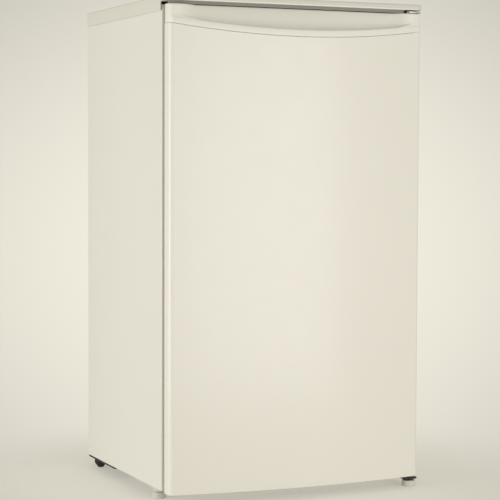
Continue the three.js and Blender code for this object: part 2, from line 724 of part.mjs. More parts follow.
function doorSkin() {
  const low = doorBottom;
  const high = doorTop - capEnd + 10;
  const outer = raise(doorOutline(doorHalf, doorRear, doorSideFront, doorCrown, doorCorner), low, high, crownSegments);
  const inner = raise(doorOutline(doorHalf - sheet, doorRear + 1, doorSideFront + sheet, doorCrown,
    doorCorner - sheet), low - 1, high + 1, crownSegments);
  return common(cut(outer, inner), capSlab(-skinTopGap, false));
}
add('door_skin', doorSkin(), doorWhite());

function doorTopCap() {
  const plan = doorOutline(doorHalf, capRear, doorSideFront, doorCrown, doorCorner);
  const body = common(raise(plan, capFoot - 2, doorTop, crownSegments), capSlab(0, true));
  const lipPlan = doorOutline(doorHalf + 0.6, capRear, doorSideFront - lipProud, doorCrown, doorCorner + 1);
  const lipBand = common(raise(lipPlan, capFoot - 2, doorTop - 4, crownSegments), capSlab(seam, true));
  const lip = common(lipBand, capSlab(lipHeight, false));
  return cut(join(body, lip), handScoop(), pinRoom(doorTop - 16, doorTop + 1));
}

// The hand scoop: a pocket behind the lip that sweeps up and back to the cap's top edge.
function handScoop() {
  const top = doorTop + 1;
  const lipTop = capFoot + lipHeight + 4;
  const profile = new THREE.Shape();
  profile.moveTo(capRear - scoopTopDepth, top);
  profile.lineTo(capRear - scoopTopDepth - 1, doorTop - 4);
  profile.quadraticCurveTo(capRear - scoopTopDepth - 6, lipTop - 4, doorSideFront - 2, lipTop - 10);
  profile.lineTo(doorSideFront - 8, lipTop - 8);
  profile.quadraticCurveTo(doorSideFront - 11, lipTop, doorFront - 8, lipTop + 1);
  profile.lineTo(doorFront - 8, top);
  return run(profile, -doorHalf + scoopInset, doorHalf - scoopInset, 5);
}

const bushRadius = 7;
const bushLength = 12;
function pinRoom(low, high) {
  return rod(hingeX, hingeY, low, high, bushRadius + gap, 16);
}
add('door_top_cap', doorTopCap(), doorWhite());

const bottomCapHeight = 20;
function doorBottomCap() {
  const inset = sheet + gap;
  const plan = doorOutline(doorHalf - inset, capRear, doorSideFront + inset, doorCrown, doorCorner - inset);
  return cut(raise(plan, doorBottom + 0.5, doorBottom + bottomCapHeight, crownSegments),
    pinRoom(doorBottom, doorBottom + bottomCapHeight + 1));
}
add('door_bottom_cap', doorBottomCap(), trimGrey());

function bush(low, high) {
  return turned([[pinRadius + pinPlay, low], [bushRadius, low], [bushRadius, high],
    [pinRadius + pinPlay, high], [pinRadius + pinPlay, low]], hingeX, hingeY, 16);
}
add('top_hinge_bush', bush(doorTop - 0.4 - bushLength, doorTop - 0.4), trimGrey());
add('bottom_hinge_bush', bush(doorBottom - 1.5, doorBottom + bushLength), trimGrey());

const linerHalf = doorHalf - sheet - gap - 1;
const foamLow = doorBottom + bottomCapHeight + gap;
function doorFoam() {
  const inset = sheet + gap;
  const plan = doorOutline(doorHalf - inset, capRear, doorSideFront + inset, doorCrown, doorCorner - inset);
  return raise(plan, foamLow, foamTop, crownSegments);
}
add('door_foam', doorFoam(), foamYellow());

// The inner door: a flat sheet with two upright dykes that the bins hang between.
const dykeHalf = cavityHalf - 8;
const dykeWall = 10;
const dykeDepth = 20;
const dykeLow = cavityFloor + 14;
const dykeHigh = cavityTop - 14;
const binFloors = [dykeLow + 16, 319.5, 530.5];
const binHeights = [86, 66, 60];
const binHalf = dykeHalf - dykeWall - binPlay;
const binBack = doorRear + 1;
const binFront = binBack + binDepth;

function doorLiner() {
  const face = box(-linerHalf, linerHalf, doorRear - linerSheet, doorRear, doorBottom + 2, doorTop - 2);
  const dykes = [-1, 1].map((side) => {
    const [x0, x1] = side < 0 ? [-dykeHalf, -dykeHalf + dykeWall] : [dykeHalf - dykeWall, dykeHalf];
    return box(x0, x1, doorRear - 1, dykeDepth, dykeLow, dykeHigh);
  });
  const ledges = [];
  for (const floor of binFloors) {
    for (const side of [-1, 1]) {
      const inner = dykeHalf - dykeWall - 5;
      const [x0, x1] = side < 0 ? [-dykeHalf + 1, -inner] : [inner, dykeHalf - 1];
      ledges.push(box(x0, x1, doorRear - 1, dykeDepth - 4, floor - 5, floor - gap));
    }
  }
  return join(face, ...dykes, ...ledges);
}
add('door_liner', doorLiner(), linerWhite());

const gasketHalf = doorHalf - 10.5;
const gasketWidth = 20;
const gasketLow = doorBottom + 12;
const gasketHigh = doorTop - 10;
function gasket() {
  const ring = rounded(-gasketHalf, gasketHalf, gasketLow, gasketHigh, 4);
  const hole = rounded(-gasketHalf + gasketWidth, gasketHalf - gasketWidth, gasketLow + gasketWidth,
    gasketHigh - gasketWidth, 3);
  ring.holes.push(hole);
  return sweep(ring, doorRear + gap, -0.5, 3);
}
add('door_gasket', gasket(), rubberGrey());

binFloors.forEach((floor, i) => {
  const high = floor + binHeights[i];
  const bin = tub(binHalf, binBack, binFront, floor, high, binWall, 8);
  add(`door_bin_${i + 1}`, bin, clear());
});

// ---------------------------------------------------------------- footprint centre
const rearmost = coilY + wireReach;
const foremost = doorFront - lipProud;
fridge.position.set(0, -(rearmost + foremost) / 2, 0);
fridge.updateMatrixWorld(true);

export default fridge;
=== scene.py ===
import json
import math

import bmesh
import bpy
from mathutils import Matrix, Vector


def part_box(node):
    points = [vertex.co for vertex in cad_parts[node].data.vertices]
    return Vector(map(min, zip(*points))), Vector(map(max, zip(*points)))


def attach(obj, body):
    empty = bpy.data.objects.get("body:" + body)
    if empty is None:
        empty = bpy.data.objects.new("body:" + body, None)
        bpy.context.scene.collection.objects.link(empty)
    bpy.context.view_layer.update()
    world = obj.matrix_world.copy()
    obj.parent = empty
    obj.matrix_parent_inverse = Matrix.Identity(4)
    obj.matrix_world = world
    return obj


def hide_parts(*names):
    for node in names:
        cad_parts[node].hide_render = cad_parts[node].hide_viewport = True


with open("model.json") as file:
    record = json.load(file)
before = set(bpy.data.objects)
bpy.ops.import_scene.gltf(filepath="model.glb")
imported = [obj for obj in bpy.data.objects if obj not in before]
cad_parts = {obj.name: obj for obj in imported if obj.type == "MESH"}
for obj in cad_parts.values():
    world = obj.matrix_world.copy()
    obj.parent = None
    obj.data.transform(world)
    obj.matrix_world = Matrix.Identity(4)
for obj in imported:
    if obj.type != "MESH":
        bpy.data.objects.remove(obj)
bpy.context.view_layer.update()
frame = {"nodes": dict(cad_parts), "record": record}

# Camera. A long lens stands to the front left of the refrigerator at about two thirds of its
# height and looks slightly down, so that the left side and the whole door are in view.
EYE = Vector((-1.1923, -2.7202, 0.5611))
HEADING = math.radians(23.71)
TILT = math.radians(-3.07)
ROLL = math.radians(0.20)
FOCAL_LENGTH = 121.1
SENSOR = 36.0

ahead = Vector((math.sin(HEADING) * math.cos(TILT), math.cos(HEADING) * math.cos(TILT), math.sin(TILT)))
level = Vector((math.cos(HEADING), -math.sin(HEADING), 0.0))
upright = level.cross(ahead)
right = level * math.cos(ROLL) + upright * math.sin(ROLL)
top = upright * math.cos(ROLL) - level * math.sin(ROLL)
lens = bpy.data.cameras.new("studio_camera")
lens.lens = FOCAL_LENGTH
lens.sensor_width = SENSOR
camera = bpy.data.objects.new("studio_camera", lens)
camera.matrix_world = Matrix.Translation(EYE) @ Matrix((right, top, -ahead)).transposed().to_4x4()
bpy.context.collection.objects.link(camera)
bpy.context.scene.camera = camera

# Studio. A pale backdrop lit from its middle outwards, one broad soft light ahead of the door,
# another off to the refrigerator's left, and a pale floor that fades into the backdrop.
BACKDROP = (0.905, 0.872, 0.762)
FADE_ACROSS = 5.6
FADE_UP = 9.0
FADE_MOST = 0.40
FLOOR_COLOUR = (0.90, 0.88, 0.82)
FLOOR_REACH = 2.0
FLOOR_COVER = 0.5
FADE_FROM = 0.15
FADE_TO = 0.75

bpy.context.scene.view_settings.view_transform = "Standard"
world = bpy.data.worlds.new("studio_backdrop")
bpy.context.scene.world = world
world.use_nodes = True
sky = world.node_tree


def node_in(tree, kind, settings=None, **inputs):
    """A node with its settings made, its values set and its sockets linked. A socket goes by its
    name, or by n and its number."""
    node = tree.nodes.new(kind)
    for setting, value in (settings or {}).items():
        setattr(node, setting, value)
    for socket, value in inputs.items():
        target = node.inputs[int(socket[1:]) if socket[1:].isdigit() else socket.replace("_", " ")]
        if isinstance(value, bpy.types.NodeSocket):
            tree.links.new(value, target)
        else:
            target.default_value = value
    return node


def maths(tree, operation, *values):
    """The result of one sum on numbers or sockets."""
    inputs = {f"n{k}": value for k, value in enumerate(values)}
    return node_in(tree, "ShaderNodeMath", {"operation": operation}, **inputs).outputs[0]


direction = node_in(sky, "ShaderNodeTexCoord").outputs["Generated"]


def dimming(axis, rate):
    """How much the backdrop darkens with the square of its distance along one axis."""
    along = node_in(sky, "ShaderNodeVectorMath", {"operation": "DOT_PRODUCT"}, n0=direction, n1=axis)
    distance = along.outputs["Value"]
    return maths(sky, "MULTIPLY", maths(sky, "MULTIPLY", distance, distance), rate)


dim = maths(sky, "ADD", dimming(right, FADE_ACROSS), dimming(top, FADE_UP))
strength = node_in(sky, "ShaderNodeMapRange", Value=dim, From_Max=FADE_MOST, To_Min=1.0,
                   To_Max=1.0 - FADE_MOST)
sky.nodes["Background"].inputs["Color"].default_value = (*BACKDROP, 1.0)
sky.links.new(strength.outputs["Result"], sky.nodes["Background"].inputs["Strength"])


def soft_light(name, place, aim, size, power, colour):
    light = bpy.data.lights.new(name, "AREA")
    light.shape = "SQUARE"
    light.size = size
    light.energy = power
    light.color = colour
    lamp = bpy.data.objects.new(name, light)
    lamp.location = place
    lamp.rotation_euler = (Vector(aim) - Vector(place)).to_track_quat("-Z", "Y").to_euler()
    lamp.visible_camera = False
    bpy.context.collection.objects.link(lamp)


soft_light("key_light", (0.30, -1.45, 0.46), (0.0, -0.2, 0.42), 0.95, 6.5, (1.0, 0.985, 0.95))
soft_light("side_light", (-1.7, 0.0, 0.42), (-0.2, 0.0, 0.42), 1.0, 11.5, (1.0, 0.985, 0.94))

floor_mesh = bpy.data.meshes.new("studio_floor")
corners = [(-1, -1), (1, -1), (1, 1), (-1, 1)]
floor_mesh.from_pydata([(x * FLOOR_REACH, y * FLOOR_REACH, 0) for x, y in corners], [], [range(4)])
floor = bpy.data.objects.new("studio_floor", floor_mesh)
bpy.context.collection.objects.link(floor)
floor_paint = bpy.data.materials.new("studio_floor")
floor_paint.use_nodes = True
tree = floor_paint.node_tree
shader = tree.nodes["Principled BSDF"]
shader.inputs["Base Color"].default_value = (*FLOOR_COLOUR, 1.0)
shader.inputs["Roughness"].default_value = 0.9
spot = node_in(tree, "ShaderNodeTexCoord").outputs["Object"]
distance = node_in(tree, "ShaderNodeVectorMath", {"operation": "LENGTH"}, n0=spot).outputs["Value"]
fade = node_in(tree, "ShaderNodeMapRange", {"interpolation_type": "SMOOTHERSTEP"}, Value=distance,
               From_Min=FADE_FROM, From_Max=FADE_TO, To_Min=FLOOR_COVER, To_Max=0.0)
tree.links.new(fade.outputs["Result"], shader.inputs["Alpha"])
floor_mesh.materials.append(floor_paint)

# Painted cabinet sides. Each is one steel sheet folded at its front and rear edges, finished in
# smooth white enamel with the faint orange peel of a baked coat.
WHITE_ENAMEL = (0.80, 0.785, 0.74)
SIDE_SHEET = 0.001
SIDE_BEND = 0.0025

body_of = {node: body for body, nodes in frame["record"]["behaviour"]["bodies"].items() for node in nodes}


def finish(name, colour, roughness, metallic=0.0, drift=0.03, drift_scale=7.0, wear=0.06,
           grain_scale=500.0, grain_height=0.00002, **sockets):
    """A surface with slow changes of tone, small changes of gloss and a fine grain in relief."""
    material = bpy.data.materials.new(name)
    material.use_nodes = True
    tree = material.node_tree
    shader = tree.nodes["Principled BSDF"]
    shader.inputs["Metallic"].default_value = metallic
    for socket, value in sockets.items():
        shader.inputs[socket.replace("_", " ")].default_value = value
    where = node_in(tree, "ShaderNodeTexCoord").outputs["Object"]

    def noise(scale, detail):
        return node_in(tree, "ShaderNodeTexNoise", Vector=where, Scale=scale, Detail=detail).outputs["Fac"]

    darker, lighter = [(*(min(c * k, 1.0) for c in colour), 1.0) for k in (1 - drift, 1 + drift)]
    tone = node_in(tree, "ShaderNodeMix", {"data_type": "RGBA"}, n0=noise(drift_scale, 3.0), n6=darker,
                   n7=lighter)
    gloss = node_in(tree, "ShaderNodeMapRange", Value=noise(drift_scale * 6, 4.0), From_Min=0.3,
                    From_Max=0.7, To_Min=max(roughness - wear, 0.02), To_Max=roughness + wear)
    relief = node_in(tree, "ShaderNodeBump", Height=noise(grain_scale, 2.0), Distance=grain_height)
    tree.links.new(tone.outputs[2], shader.inputs["Base Color"])
    tree.links.new(gloss.outputs["Result"], shader.inputs["Roughness"])
    tree.links.new(relief.outputs["Normal"], shader.inputs["Normal"])
    return material


def piece(name, mesh, material):
    """A smooth-shaded object of one material, at the origin."""
    if isinstance(mesh, bmesh.types.BMesh):
        made = bpy.data.meshes.new(name)
        bmesh.ops.recalc_face_normals(mesh, faces=mesh.faces)
        mesh.to_mesh(made)
        mesh.free()
        mesh = made
    mesh.materials.clear()
    mesh.materials.append(material)
    for face in mesh.polygons:
        face.use_smooth = True
    mesh.set_sharp_from_angle(angle=math.radians(32.0))
    thing = bpy.data.objects.new(name, mesh)
    bpy.context.collection.objects.link(thing)
    return thing


def stand_for(thing, *nodes):
    """The piece takes the place of its CAD nodes and moves with their body."""
    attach(thing, body_of[nodes[0]])
    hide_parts(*nodes)


def added_to(thing, node):
    """An extra piece that moves with a CAD node's body."""
    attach(thing, body_of[node])


def soften(thing, width, segments, angle):
    """Rounds every edge sharper than the angle."""
    round_off = thing.modifiers.new("edge_radius", "BEVEL")
    round_off.width = width
    round_off.segments = segments
    round_off.limit_method = "ANGLE"
    round_off.angle_limit = math.radians(angle)
    round_off.harden_normals = True
    return thing


def fillet(points, radius, steps=5, closed=False):
    """Rounds the corners of a flat path."""
    count = len(points)
    out = []
    for i, corner in enumerate(points):
        corner = Vector(corner)
        if not closed and i in (0, count - 1):
            out.append(corner)
            continue
        before = (Vector(points[i - 1]) - corner).normalized()
        after = (Vector(points[(i + 1) % count]) - corner).normalized()
        half = before.angle(after) / 2
        middle = corner + (before + after).normalized() * (radius / math.sin(half))
        start = corner + before * (radius / math.tan(half)) - middle
        turn = start.angle_signed(corner + after * (radius / math.tan(half)) - middle)
        out += [middle + Matrix.Rotation(-turn * k / steps, 2) @ start for k in range(steps + 1)]
    return out


def offset_path(path, distance):
    """The path moved sideways, to its left for a positive distance."""
    moved = []
    for i, point in enumerate(path):
        back = (point - path[i - 1]).normalized() if i else None
        on = (path[i + 1] - point).normalized() if i + 1 < len(path) else None
        along = (back or on) + (on or back)
        normal = Vector((-along.y, along.x)).normalized()
        stretch = normal.dot(Vector((-(on or back).y, (on or back).x)))
        moved.append(point + normal * distance / stretch)
    return moved


def skin_between(rings, looped=False):
    """Faces from ring to ring; a loop of rings joins its last to its first, others are capped."""
    mesh = bmesh.new()
    rows = [[mesh.verts.new(p) for p in ring] for ring in rings]
    for near, far in zip(rows, rows[1:] + rows[:1] if looped else rows[1:]):
        for i in range(len(near)):
            j = (i + 1) % len(near)
            mesh.faces.new((near[i], near[j], far[j], far[i]))
    if not looped:
        mesh.faces.new(rows[0])
        mesh.faces.new(rows[-1])
    return mesh


def folded_sheet(path, thickness, place_low, place_high):
    """A sheet of even thickness folded along a path; the two functions place it at each end."""
    outline = offset_path(path, thickness / 2) + list(reversed(offset_path(path, -thickness / 2)))
    return skin_between([[place_low(p) for p in outline], [place_high(p) for p in outline]])


enamel = finish("white_enamel", WHITE_ENAMEL, 0.34, drift=0.012, wear=0.05, grain_scale=260.0,
                grain_height=0.00001, Coat_Weight=0.25, Coat_Roughness=0.15)


def side_panel(node, side):
    low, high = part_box(node)
    near = low.x if side < 0 else high.x
    far = high.x if side < 0 else low.x
    mid = side * -SIDE_SHEET / 2
    path = [(far, high.y + mid * side), (near + mid, high.y + mid * side),
            (near + mid, low.y - mid * side), (far, low.y - mid * side)]
    path = fillet(path, SIDE_BEND)
    sheet = folded_sheet(path, SIDE_SHEET, lambda p: (p.x, p.y, low.z), lambda p: (p.x, p.y, high.z))
    stand_for(piece(node.replace("panel", "sheet"), sheet, enamel), node)


side_panel("left_side_panel", -1)
side_panel("right_side_panel", 1)

# Worktop. A moulded off-white lid with a fine leather grain and a shallow border groove. Its nose
# overhangs the door, with a painted highlight (a thin near-white bead) along its lower edge and a
# dark grey strip under it that paints the shade in the gap above the door, and thin skirts run
# down over the cabinet's sides and back.
WORKTOP_WHITE = (0.715, 0.697, 0.643)
WORKTOP_CORNER = 0.010
WORKTOP_ROUNDING = 0.003
SKIRT_ROUNDING = 0.0006
WORKTOP_NOSE = 0.0095
NOSE_RADIUS = 0.0026
# Painted shade: the strip's dark grey stands in for the shade in the gap between the nose and the door.
PAINTED_SHADE_GREY = (0.29, 0.285, 0.265)
STRIP_BACK = 0.009
STRIP_WALL = 0.002
STRIP_DROP = 0.0050
SKIRT_WALL = 0.0017
BORDER = 0.016
BORDER_GROOVE = 0.0008
# Painted highlight: the bead's near-white colour stands in for light caught by the nose's rounded lower edge.
HIGHLIGHT_WHITE = (0.93, 0.915, 0.87)
HIGHLIGHT_RADIUS = 0.0012
HIGHLIGHT_CENTRE = 0.0013


def rounded_rectangle(x0, x1, y0, y1, radius, steps=6):
    corners = [(x0, y0), (x1, y0), (x1, y1), (x0, y1)]
    return fillet(corners, radius, steps, closed=True)


def relieved(material, pattern, height):
    """Adds a pattern in relief on top of the finish's own grain."""
    tree = material.node_tree
    relief = node_in(tree, "ShaderNodeBump", Height=pattern, Distance=height,
                     Normal=tree.nodes["Bump"].outputs["Normal"])
    tree.links.new(relief.outputs["Normal"], tree.nodes["Principled BSDF"].inputs["Normal"])
    return material


def place_in(material):
    return material.node_tree.nodes["Texture Coordinate"].outputs["Object"]


def grained(material, scale, height):
    """Adds the pebbled relief of a textured mould to a finish."""
    cells = node_in(material.node_tree, "ShaderNodeTexVoronoi", {"feature": "SMOOTH_F1"}, Scale=scale,
                    Smoothness=0.6, Vector=place_in(material))
    return relieved(material, cells.outputs["Distance"], height)


def quarter(steps, first=0):
    """Sine and cosine at even steps through a quarter turn."""
    turns = [k / steps * math.pi / 2 for k in range(first, steps + 1)]
    return [(math.sin(turn), math.cos(turn)) for turn in turns]


def ring_at(x0, x1, y0, y1, corner, height, step_y):
    """A rounded rectangle whose height is a number or a function of y that steps at step_y."""
    level_at = height if callable(height) else lambda y: height
    ring = []
    outline = rounded_rectangle(x0, x1, y0, y1, corner)
    for here, there in zip(outline, outline[1:] + outline[:1]):
        ring.append((here.x, here.y, level_at(here.y)))
        if (here.y - step_y) * (there.y - step_y) < 0:
            side = 0.00005 if there.y > here.y else -0.00005
            ring.append((here.x, step_y - side, level_at(step_y - side)))
            ring.append((here.x, step_y + side, level_at(step_y + side)))
    return ring


def worktop():
    low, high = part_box("worktop")
    cabinet_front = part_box("left_side_panel")[0].y
    nose_under = high.z - WORKTOP_NOSE

    def foot(y):
        return nose_under if y < cabinet_front else low.z

    def shrunk(inset, height, front=None):
        corner = max(WORKTOP_CORNER - inset, 0.002)
        front = inset if front is None else front
        return ring_at(low.x + inset, high.x - inset, low.y + front, high.y - inset, corner, height,
                       cabinet_front)

    rings = [shrunk(BORDER + 0.0012, high.z - BORDER_GROOVE), shrunk(BORDER, high.z - BORDER_GROOVE),
             shrunk(BORDER - 0.0008, high.z)]
    for sine, cosine in quarter(5):
        rings.append(shrunk(WORKTOP_ROUNDING * (1 - sine), high.z - WORKTOP_ROUNDING * (1 - cosine)))
    for sine, cosine in quarter(5):
        def rounded_foot(y, left=1 - sine):
            return foot(y) + (NOSE_RADIUS if y < cabinet_front else SKIRT_ROUNDING) * left

        rings.append(shrunk(SKIRT_ROUNDING * (1 - cosine), rounded_foot, NOSE_RADIUS * (1 - cosine)))
    rings.append(shrunk(SKIRT_WALL - 0.0003, foot, NOSE_RADIUS + 0.0004))
    rings.append(shrunk(SKIRT_WALL, nose_under, NOSE_RADIUS + 0.0008))
    return skin_between(rings)


worktop_plastic = grained(finish("worktop_plastic", WORKTOP_WHITE, 0.5, drift=0.015), 700.0, 0.00006)
stand_for(piece("worktop_lid", worktop(), worktop_plastic), "worktop")


def painted_highlight_bead():
    """A thin bright strip along the lower front edge of the nose. Its near-white colour is a painted
    highlight where the rounded edge catches the light.
    """
    low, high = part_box("worktop")
    y, z = low.y + HIGHLIGHT_CENTRE, high.z - WORKTOP_NOSE + HIGHLIGHT_CENTRE
    half = high.x - WORKTOP_CORNER
    rings = []
    for x, share in ((-half, 0.4), (0.001 - half, 1.0), (half - 0.001, 1.0), (half, 0.4)):
        turns = [k * math.pi / 8 for k in range(16)]
        radius = HIGHLIGHT_RADIUS * share
        rings.append([(x, y + radius * math.cos(turn), z + radius * math.sin(turn)) for turn in turns])
    return skin_between(rings)


def painted_shade_strip():
    """A dark grey strip hung under the nose. Its colour paints the shade in the gap above the door."""
    low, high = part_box("worktop")
    front, under = low.y + STRIP_BACK, high.z - WORKTOP_NOSE
    left, right = low.x + 0.004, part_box("top_hinge_bracket")[0].x - 0.003
    rings = []
    foot = under - STRIP_DROP
    for tuck, z in ((0.0, under - 0.0001), (0.0, foot + 0.0005), (0.0005, foot)):
        plan = rounded_rectangle(left + tuck, right - tuck, front + tuck, front + STRIP_WALL - tuck,
                                 0.0004, 2)
        rings.append([(p.x, p.y, z) for p in plan])
    return skin_between(rings)


# The bead's bright finish is a painted highlight.
highlight_plastic = finish("highlight_plastic", HIGHLIGHT_WHITE, 0.3, drift=0.01, grain_height=0.000005)
# The strip's dark grey finish is painted shade.
painted_shade_finish = finish("painted_shade_finish", PAINTED_SHADE_GREY, 0.6, drift=0.05, grain_scale=700.0)
added_to(piece("worktop_painted_highlight", painted_highlight_bead(), highlight_plastic), "worktop")
added_to(piece("nose_painted_shade_strip", painted_shade_strip(), painted_shade_finish), "worktop")

# Door skin. One enamelled sheet, bowed forward across its width, wrapped round both sides of the
# door and cut along a shallow curve at the top, where the cap sits on it.
DOOR_WHITE = (0.845, 0.825, 0.77)
DOOR_CROWN = 0.018
DOOR_EDGE_RADIUS = 0.008
DOOR_SHEET = 0.001
CAP_END = 0.030
CAP_SAG = 0.017
SEAM = 0.0004
HEM = 0.0005

skin_low, skin_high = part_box("door_skin")
cap_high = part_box("door_top_cap")[1]
door_half = skin_high.x
door_rear = skin_high.y
door_side_front = skin_low.y + DOOR_CROWN
door_top = cap_high.z


def bow(x):
    """How far forward of its sides the door stands at x, following one broad arc."""
    chord = door_half - DOOR_EDGE_RADIUS
    radius = (chord ** 2 + DOOR_CROWN ** 2) / (2 * DOOR_CROWN)
    return math.sqrt(radius ** 2 - min(abs(x), chord) ** 2) - radius + DOOR_CROWN


def door_front_at(x):
    """The door's front face at x, with its rounded upright edges."""
    past = abs(x) - (door_half - DOOR_EDGE_RADIUS)
    if past <= 0:
        return door_side_front - bow(x)
    return door_side_front + DOOR_EDGE_RADIUS - math.sqrt(max(DOOR_EDGE_RADIUS ** 2 - past ** 2, 0.0))


def cap_edge(x):
    """Height of the curved line where the skin meets the top cap."""
    radius = (door_half ** 2 + CAP_SAG ** 2) / (2 * CAP_SAG)
    return door_top - CAP_END - CAP_SAG + radius - math.sqrt(radius ** 2 - x ** 2)


def door_stations(face_steps):
    """Places across the door, close together round its upright edges."""
    flat = door_half - DOOR_EDGE_RADIUS
    turn = [flat + DOOR_EDGE_RADIUS * sine for sine, cosine in quarter(8, 1)]
    face = [-flat + 2 * flat * k / face_steps for k in range(face_steps + 1)]
    return [-x for x in reversed(turn)] + face + turn


def door_skin():
    plan = [Vector((x, door_front_at(x))) for x in door_stations(44)]
    wrap = [Vector((-door_half, door_rear))] + plan + [Vector((door_half, door_rear))]
    inside = offset_path(wrap, DOOR_SHEET)
    outline = wrap + list(reversed(inside))

    def row(points, height):
        return [(p.x, p.y, height(p.x)) for p in points]

    def shy(distance):
        return offset_path(wrap, distance) + list(reversed(offset_path(wrap, DOOR_SHEET - distance / 2)))

    return skin_between([
        row(shy(HEM), lambda x: skin_low.z),
        row(outline, lambda x: skin_low.z + HEM),
        row(outline, lambda x: cap_edge(x) - SEAM - HEM),
        row(shy(HEM), lambda x: cap_edge(x) - SEAM)])


door_enamel = finish("door_enamel", DOOR_WHITE, 0.34, drift=0.010, wear=0.05, grain_scale=260.0,
                     grain_height=0.00001, Coat_Weight=0.3, Coat_Roughness=0.18)
stand_for(piece("door_face", door_skin(), door_enamel), "door_skin")

# Door top cap. Glossy white moulding: plain at both ends, and scooped out between them, so that
# fingers reach down behind a proud lip under the worktop.
CAP_WHITE = (0.85, 0.835, 0.785)
LIP_PROUD = 0.0018
LIP_HEIGHT = 0.013
LIP_ROUNDING = 0.0012
POCKET_BACK = 0.0125
POCKET_DROP = 0.006
SCOOP_INSET = 0.014
SCOOP_BLEND = 0.040
SCOOP_WALL = 0.008
CAP_EDGE_RADIUS = 0.0025


def smooth_step(value, low, high):
    t = min(max((value - low) / (high - low), 0.0), 1.0)
    return t * t * (3 - 2 * t)


def cap_section(x):
    """The cap's outline at x as (y, z) points, from its rear foot round its front to its rear top."""
    front = door_front_at(x)
    rear = cap_high.y
    foot = cap_edge(x)
    reach = smooth_step(door_half - abs(x), 0.0, 0.006)
    proud = LIP_PROUD * reach
    edge = min(CAP_EDGE_RADIUS, (rear - front) / 3)
    depth = smooth_step(door_half - abs(x), SCOOP_INSET, SCOOP_INSET + SCOOP_BLEND)
    lip_top = foot + LIP_HEIGHT
    wall = rear - SCOOP_WALL
    plain, scooped = [], []
    for sine, cosine in quarter(4):
        point = (front - proud + LIP_ROUNDING * (1 - sine), foot + LIP_ROUNDING * (1 - cosine))
        plain.append(point)
        scooped.append(point)
    for k in range(1, 9):
        t = k / 8
        swell = proud * (1 - smooth_step(t, 0.55, 1.0))
        height = foot + LIP_ROUNDING + t * (LIP_HEIGHT - LIP_ROUNDING)
        plain.append((front - swell, height))
        scooped.append((front - proud * (1 - 0.35 * t * t), height - 0.003 * max(t - 0.6, 0) / 0.4))
    crest = scooped[-1]
    pocket = (front + POCKET_BACK, lip_top - POCKET_DROP)
    for k in range(1, 9):
        t = k / 8
        angle = t * math.pi
        plain.append((front, lip_top + (door_top - edge - lip_top) * t * 0.3))
        drop = (pocket[1] - crest[1]) * smooth_step(t, 0.3, 1.0)
        scooped.append((crest[0] + (pocket[0] - crest[0]) * (1 - math.cos(angle)) / 2,
                        crest[1] + 0.0016 * math.sin(angle) + drop))
    for k in range(1, 15):
        t = k / 14
        plain.append((front, lip_top + (door_top - edge - lip_top) * (0.3 + 0.7 * t)))
        scooped.append((pocket[0] + (wall - pocket[0]) * t ** 0.72,
                        pocket[1] + (door_top - edge - pocket[1]) * t ** 1.5))
    for sine, cosine in quarter(4, 1):
        plain.append((front + edge * (1 - cosine), door_top - edge * (1 - sine)))
        scooped.append((wall + edge * (1 - cosine) * 0.5, door_top - edge * (1 - sine)))
    outer = [(a[0] + (b[0] - a[0]) * depth, a[1] + (b[1] - a[1]) * depth) for a, b in zip(plain, scooped)]
    return [(rear, foot)] + outer + [(rear, door_top)]


def cap_stations():
    coarse = door_stations(60)
    fine = []
    for k in range(1, 16):
        x = door_half - SCOOP_INSET - SCOOP_BLEND * k / 15
        fine += [x, -x]
    return sorted(set(round(x, 5) for x in coarse + fine))


cap_rings = [[(x, y, z) for y, z in cap_section(x)] for x in cap_stations()]
cap_plastic = finish("cap_plastic", CAP_WHITE, 0.36, drift=0.012, wear=0.05, grain_scale=900.0,
                     grain_height=0.00001, Coat_Weight=0.1)
stand_for(piece("door_top_moulding", skin_between(cap_rings), cap_plastic), "door_top_cap")

# Door gasket. Soft grey vinyl extrusion run round the inner door: a flat magnet tube held to the
# cabinet's front, and a pleated bellows behind it that lets it stretch.
GASKET_GREY = (0.60, 0.59, 0.55)
GASKET_WIDTH = 0.020
GASKET_CORNER = 0.006


def swept_ring(outline, section):
    """A closed section carried round a closed outline in the door's plane. Section points are
    (inward, y); the outline is (x, z)."""
    count = len(outline)
    rings = []
    for i in range(count):
        before, here, after = outline[i - 1], outline[i], outline[(i + 1) % count]
        along = (here - before).normalized() + (after - here).normalized()
        inward = Vector((-along.y, along.x)).normalized()
        stretch = 1 / max(inward.dot(Vector((-(after - here).y, (after - here).x)).normalized()), 0.3)
        step = inward * stretch
        rings.append([(here.x + step.x * a, y, here.y + step.y * a) for a, y in section])
    return skin_between(rings, looped=True)


def gasket():
    low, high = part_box("door_gasket")
    outline = rounded_rectangle(low.x, high.x, low.z, high.z, GASKET_CORNER)
    root, face = low.y, high.y
    deep, w = face - root, GASKET_WIDTH
    # The section in shares of the width from its outer edge, and of the depth from its face.
    magnet = [(0.55, 0.0), (0.6, 0.0008 / deep), (0.6, 0.28), (0.85, 0.30), (1.0, 0.12), (1.0, 0.24)]
    bellows = [(0.87, 0.42), (0.45, 0.46), (0.62, 0.62), (0.45, 0.78), (0.55, 0.88)]
    flange = [(w * 0.9, root + 0.0006), (w * 0.9, root), (w * 0.1, root), (w * 0.05, root + 0.0006)]
    back = [(0.3, 0.86), (0.1, 0.74), (0.3, 0.60), (0.05, 0.44), (0.0, 0.30)]
    section = [(0.0, face - 0.0008), (0.0008, face)]
    section += [(w * a, face - deep * d) for a, d in magnet + bellows]
    section += flange
    section += [(w * a, face - deep * d) for a, d in back]
    return swept_ring(outline, section)


vinyl = finish("gasket_vinyl", GASKET_GREY, 0.55, drift=0.05, drift_scale=12.0, grain_scale=700.0)
stand_for(piece("door_seal", gasket(), vinyl), "door_gasket")

# Door's foot and edges. A grey moulded cap closes the foot of the door; the foam between the
# skins is poured in place and bonds them.
PLASTIC_GREY = (0.60, 0.59, 0.55)
FOAM_CREAM = (0.72, 0.66, 0.44)


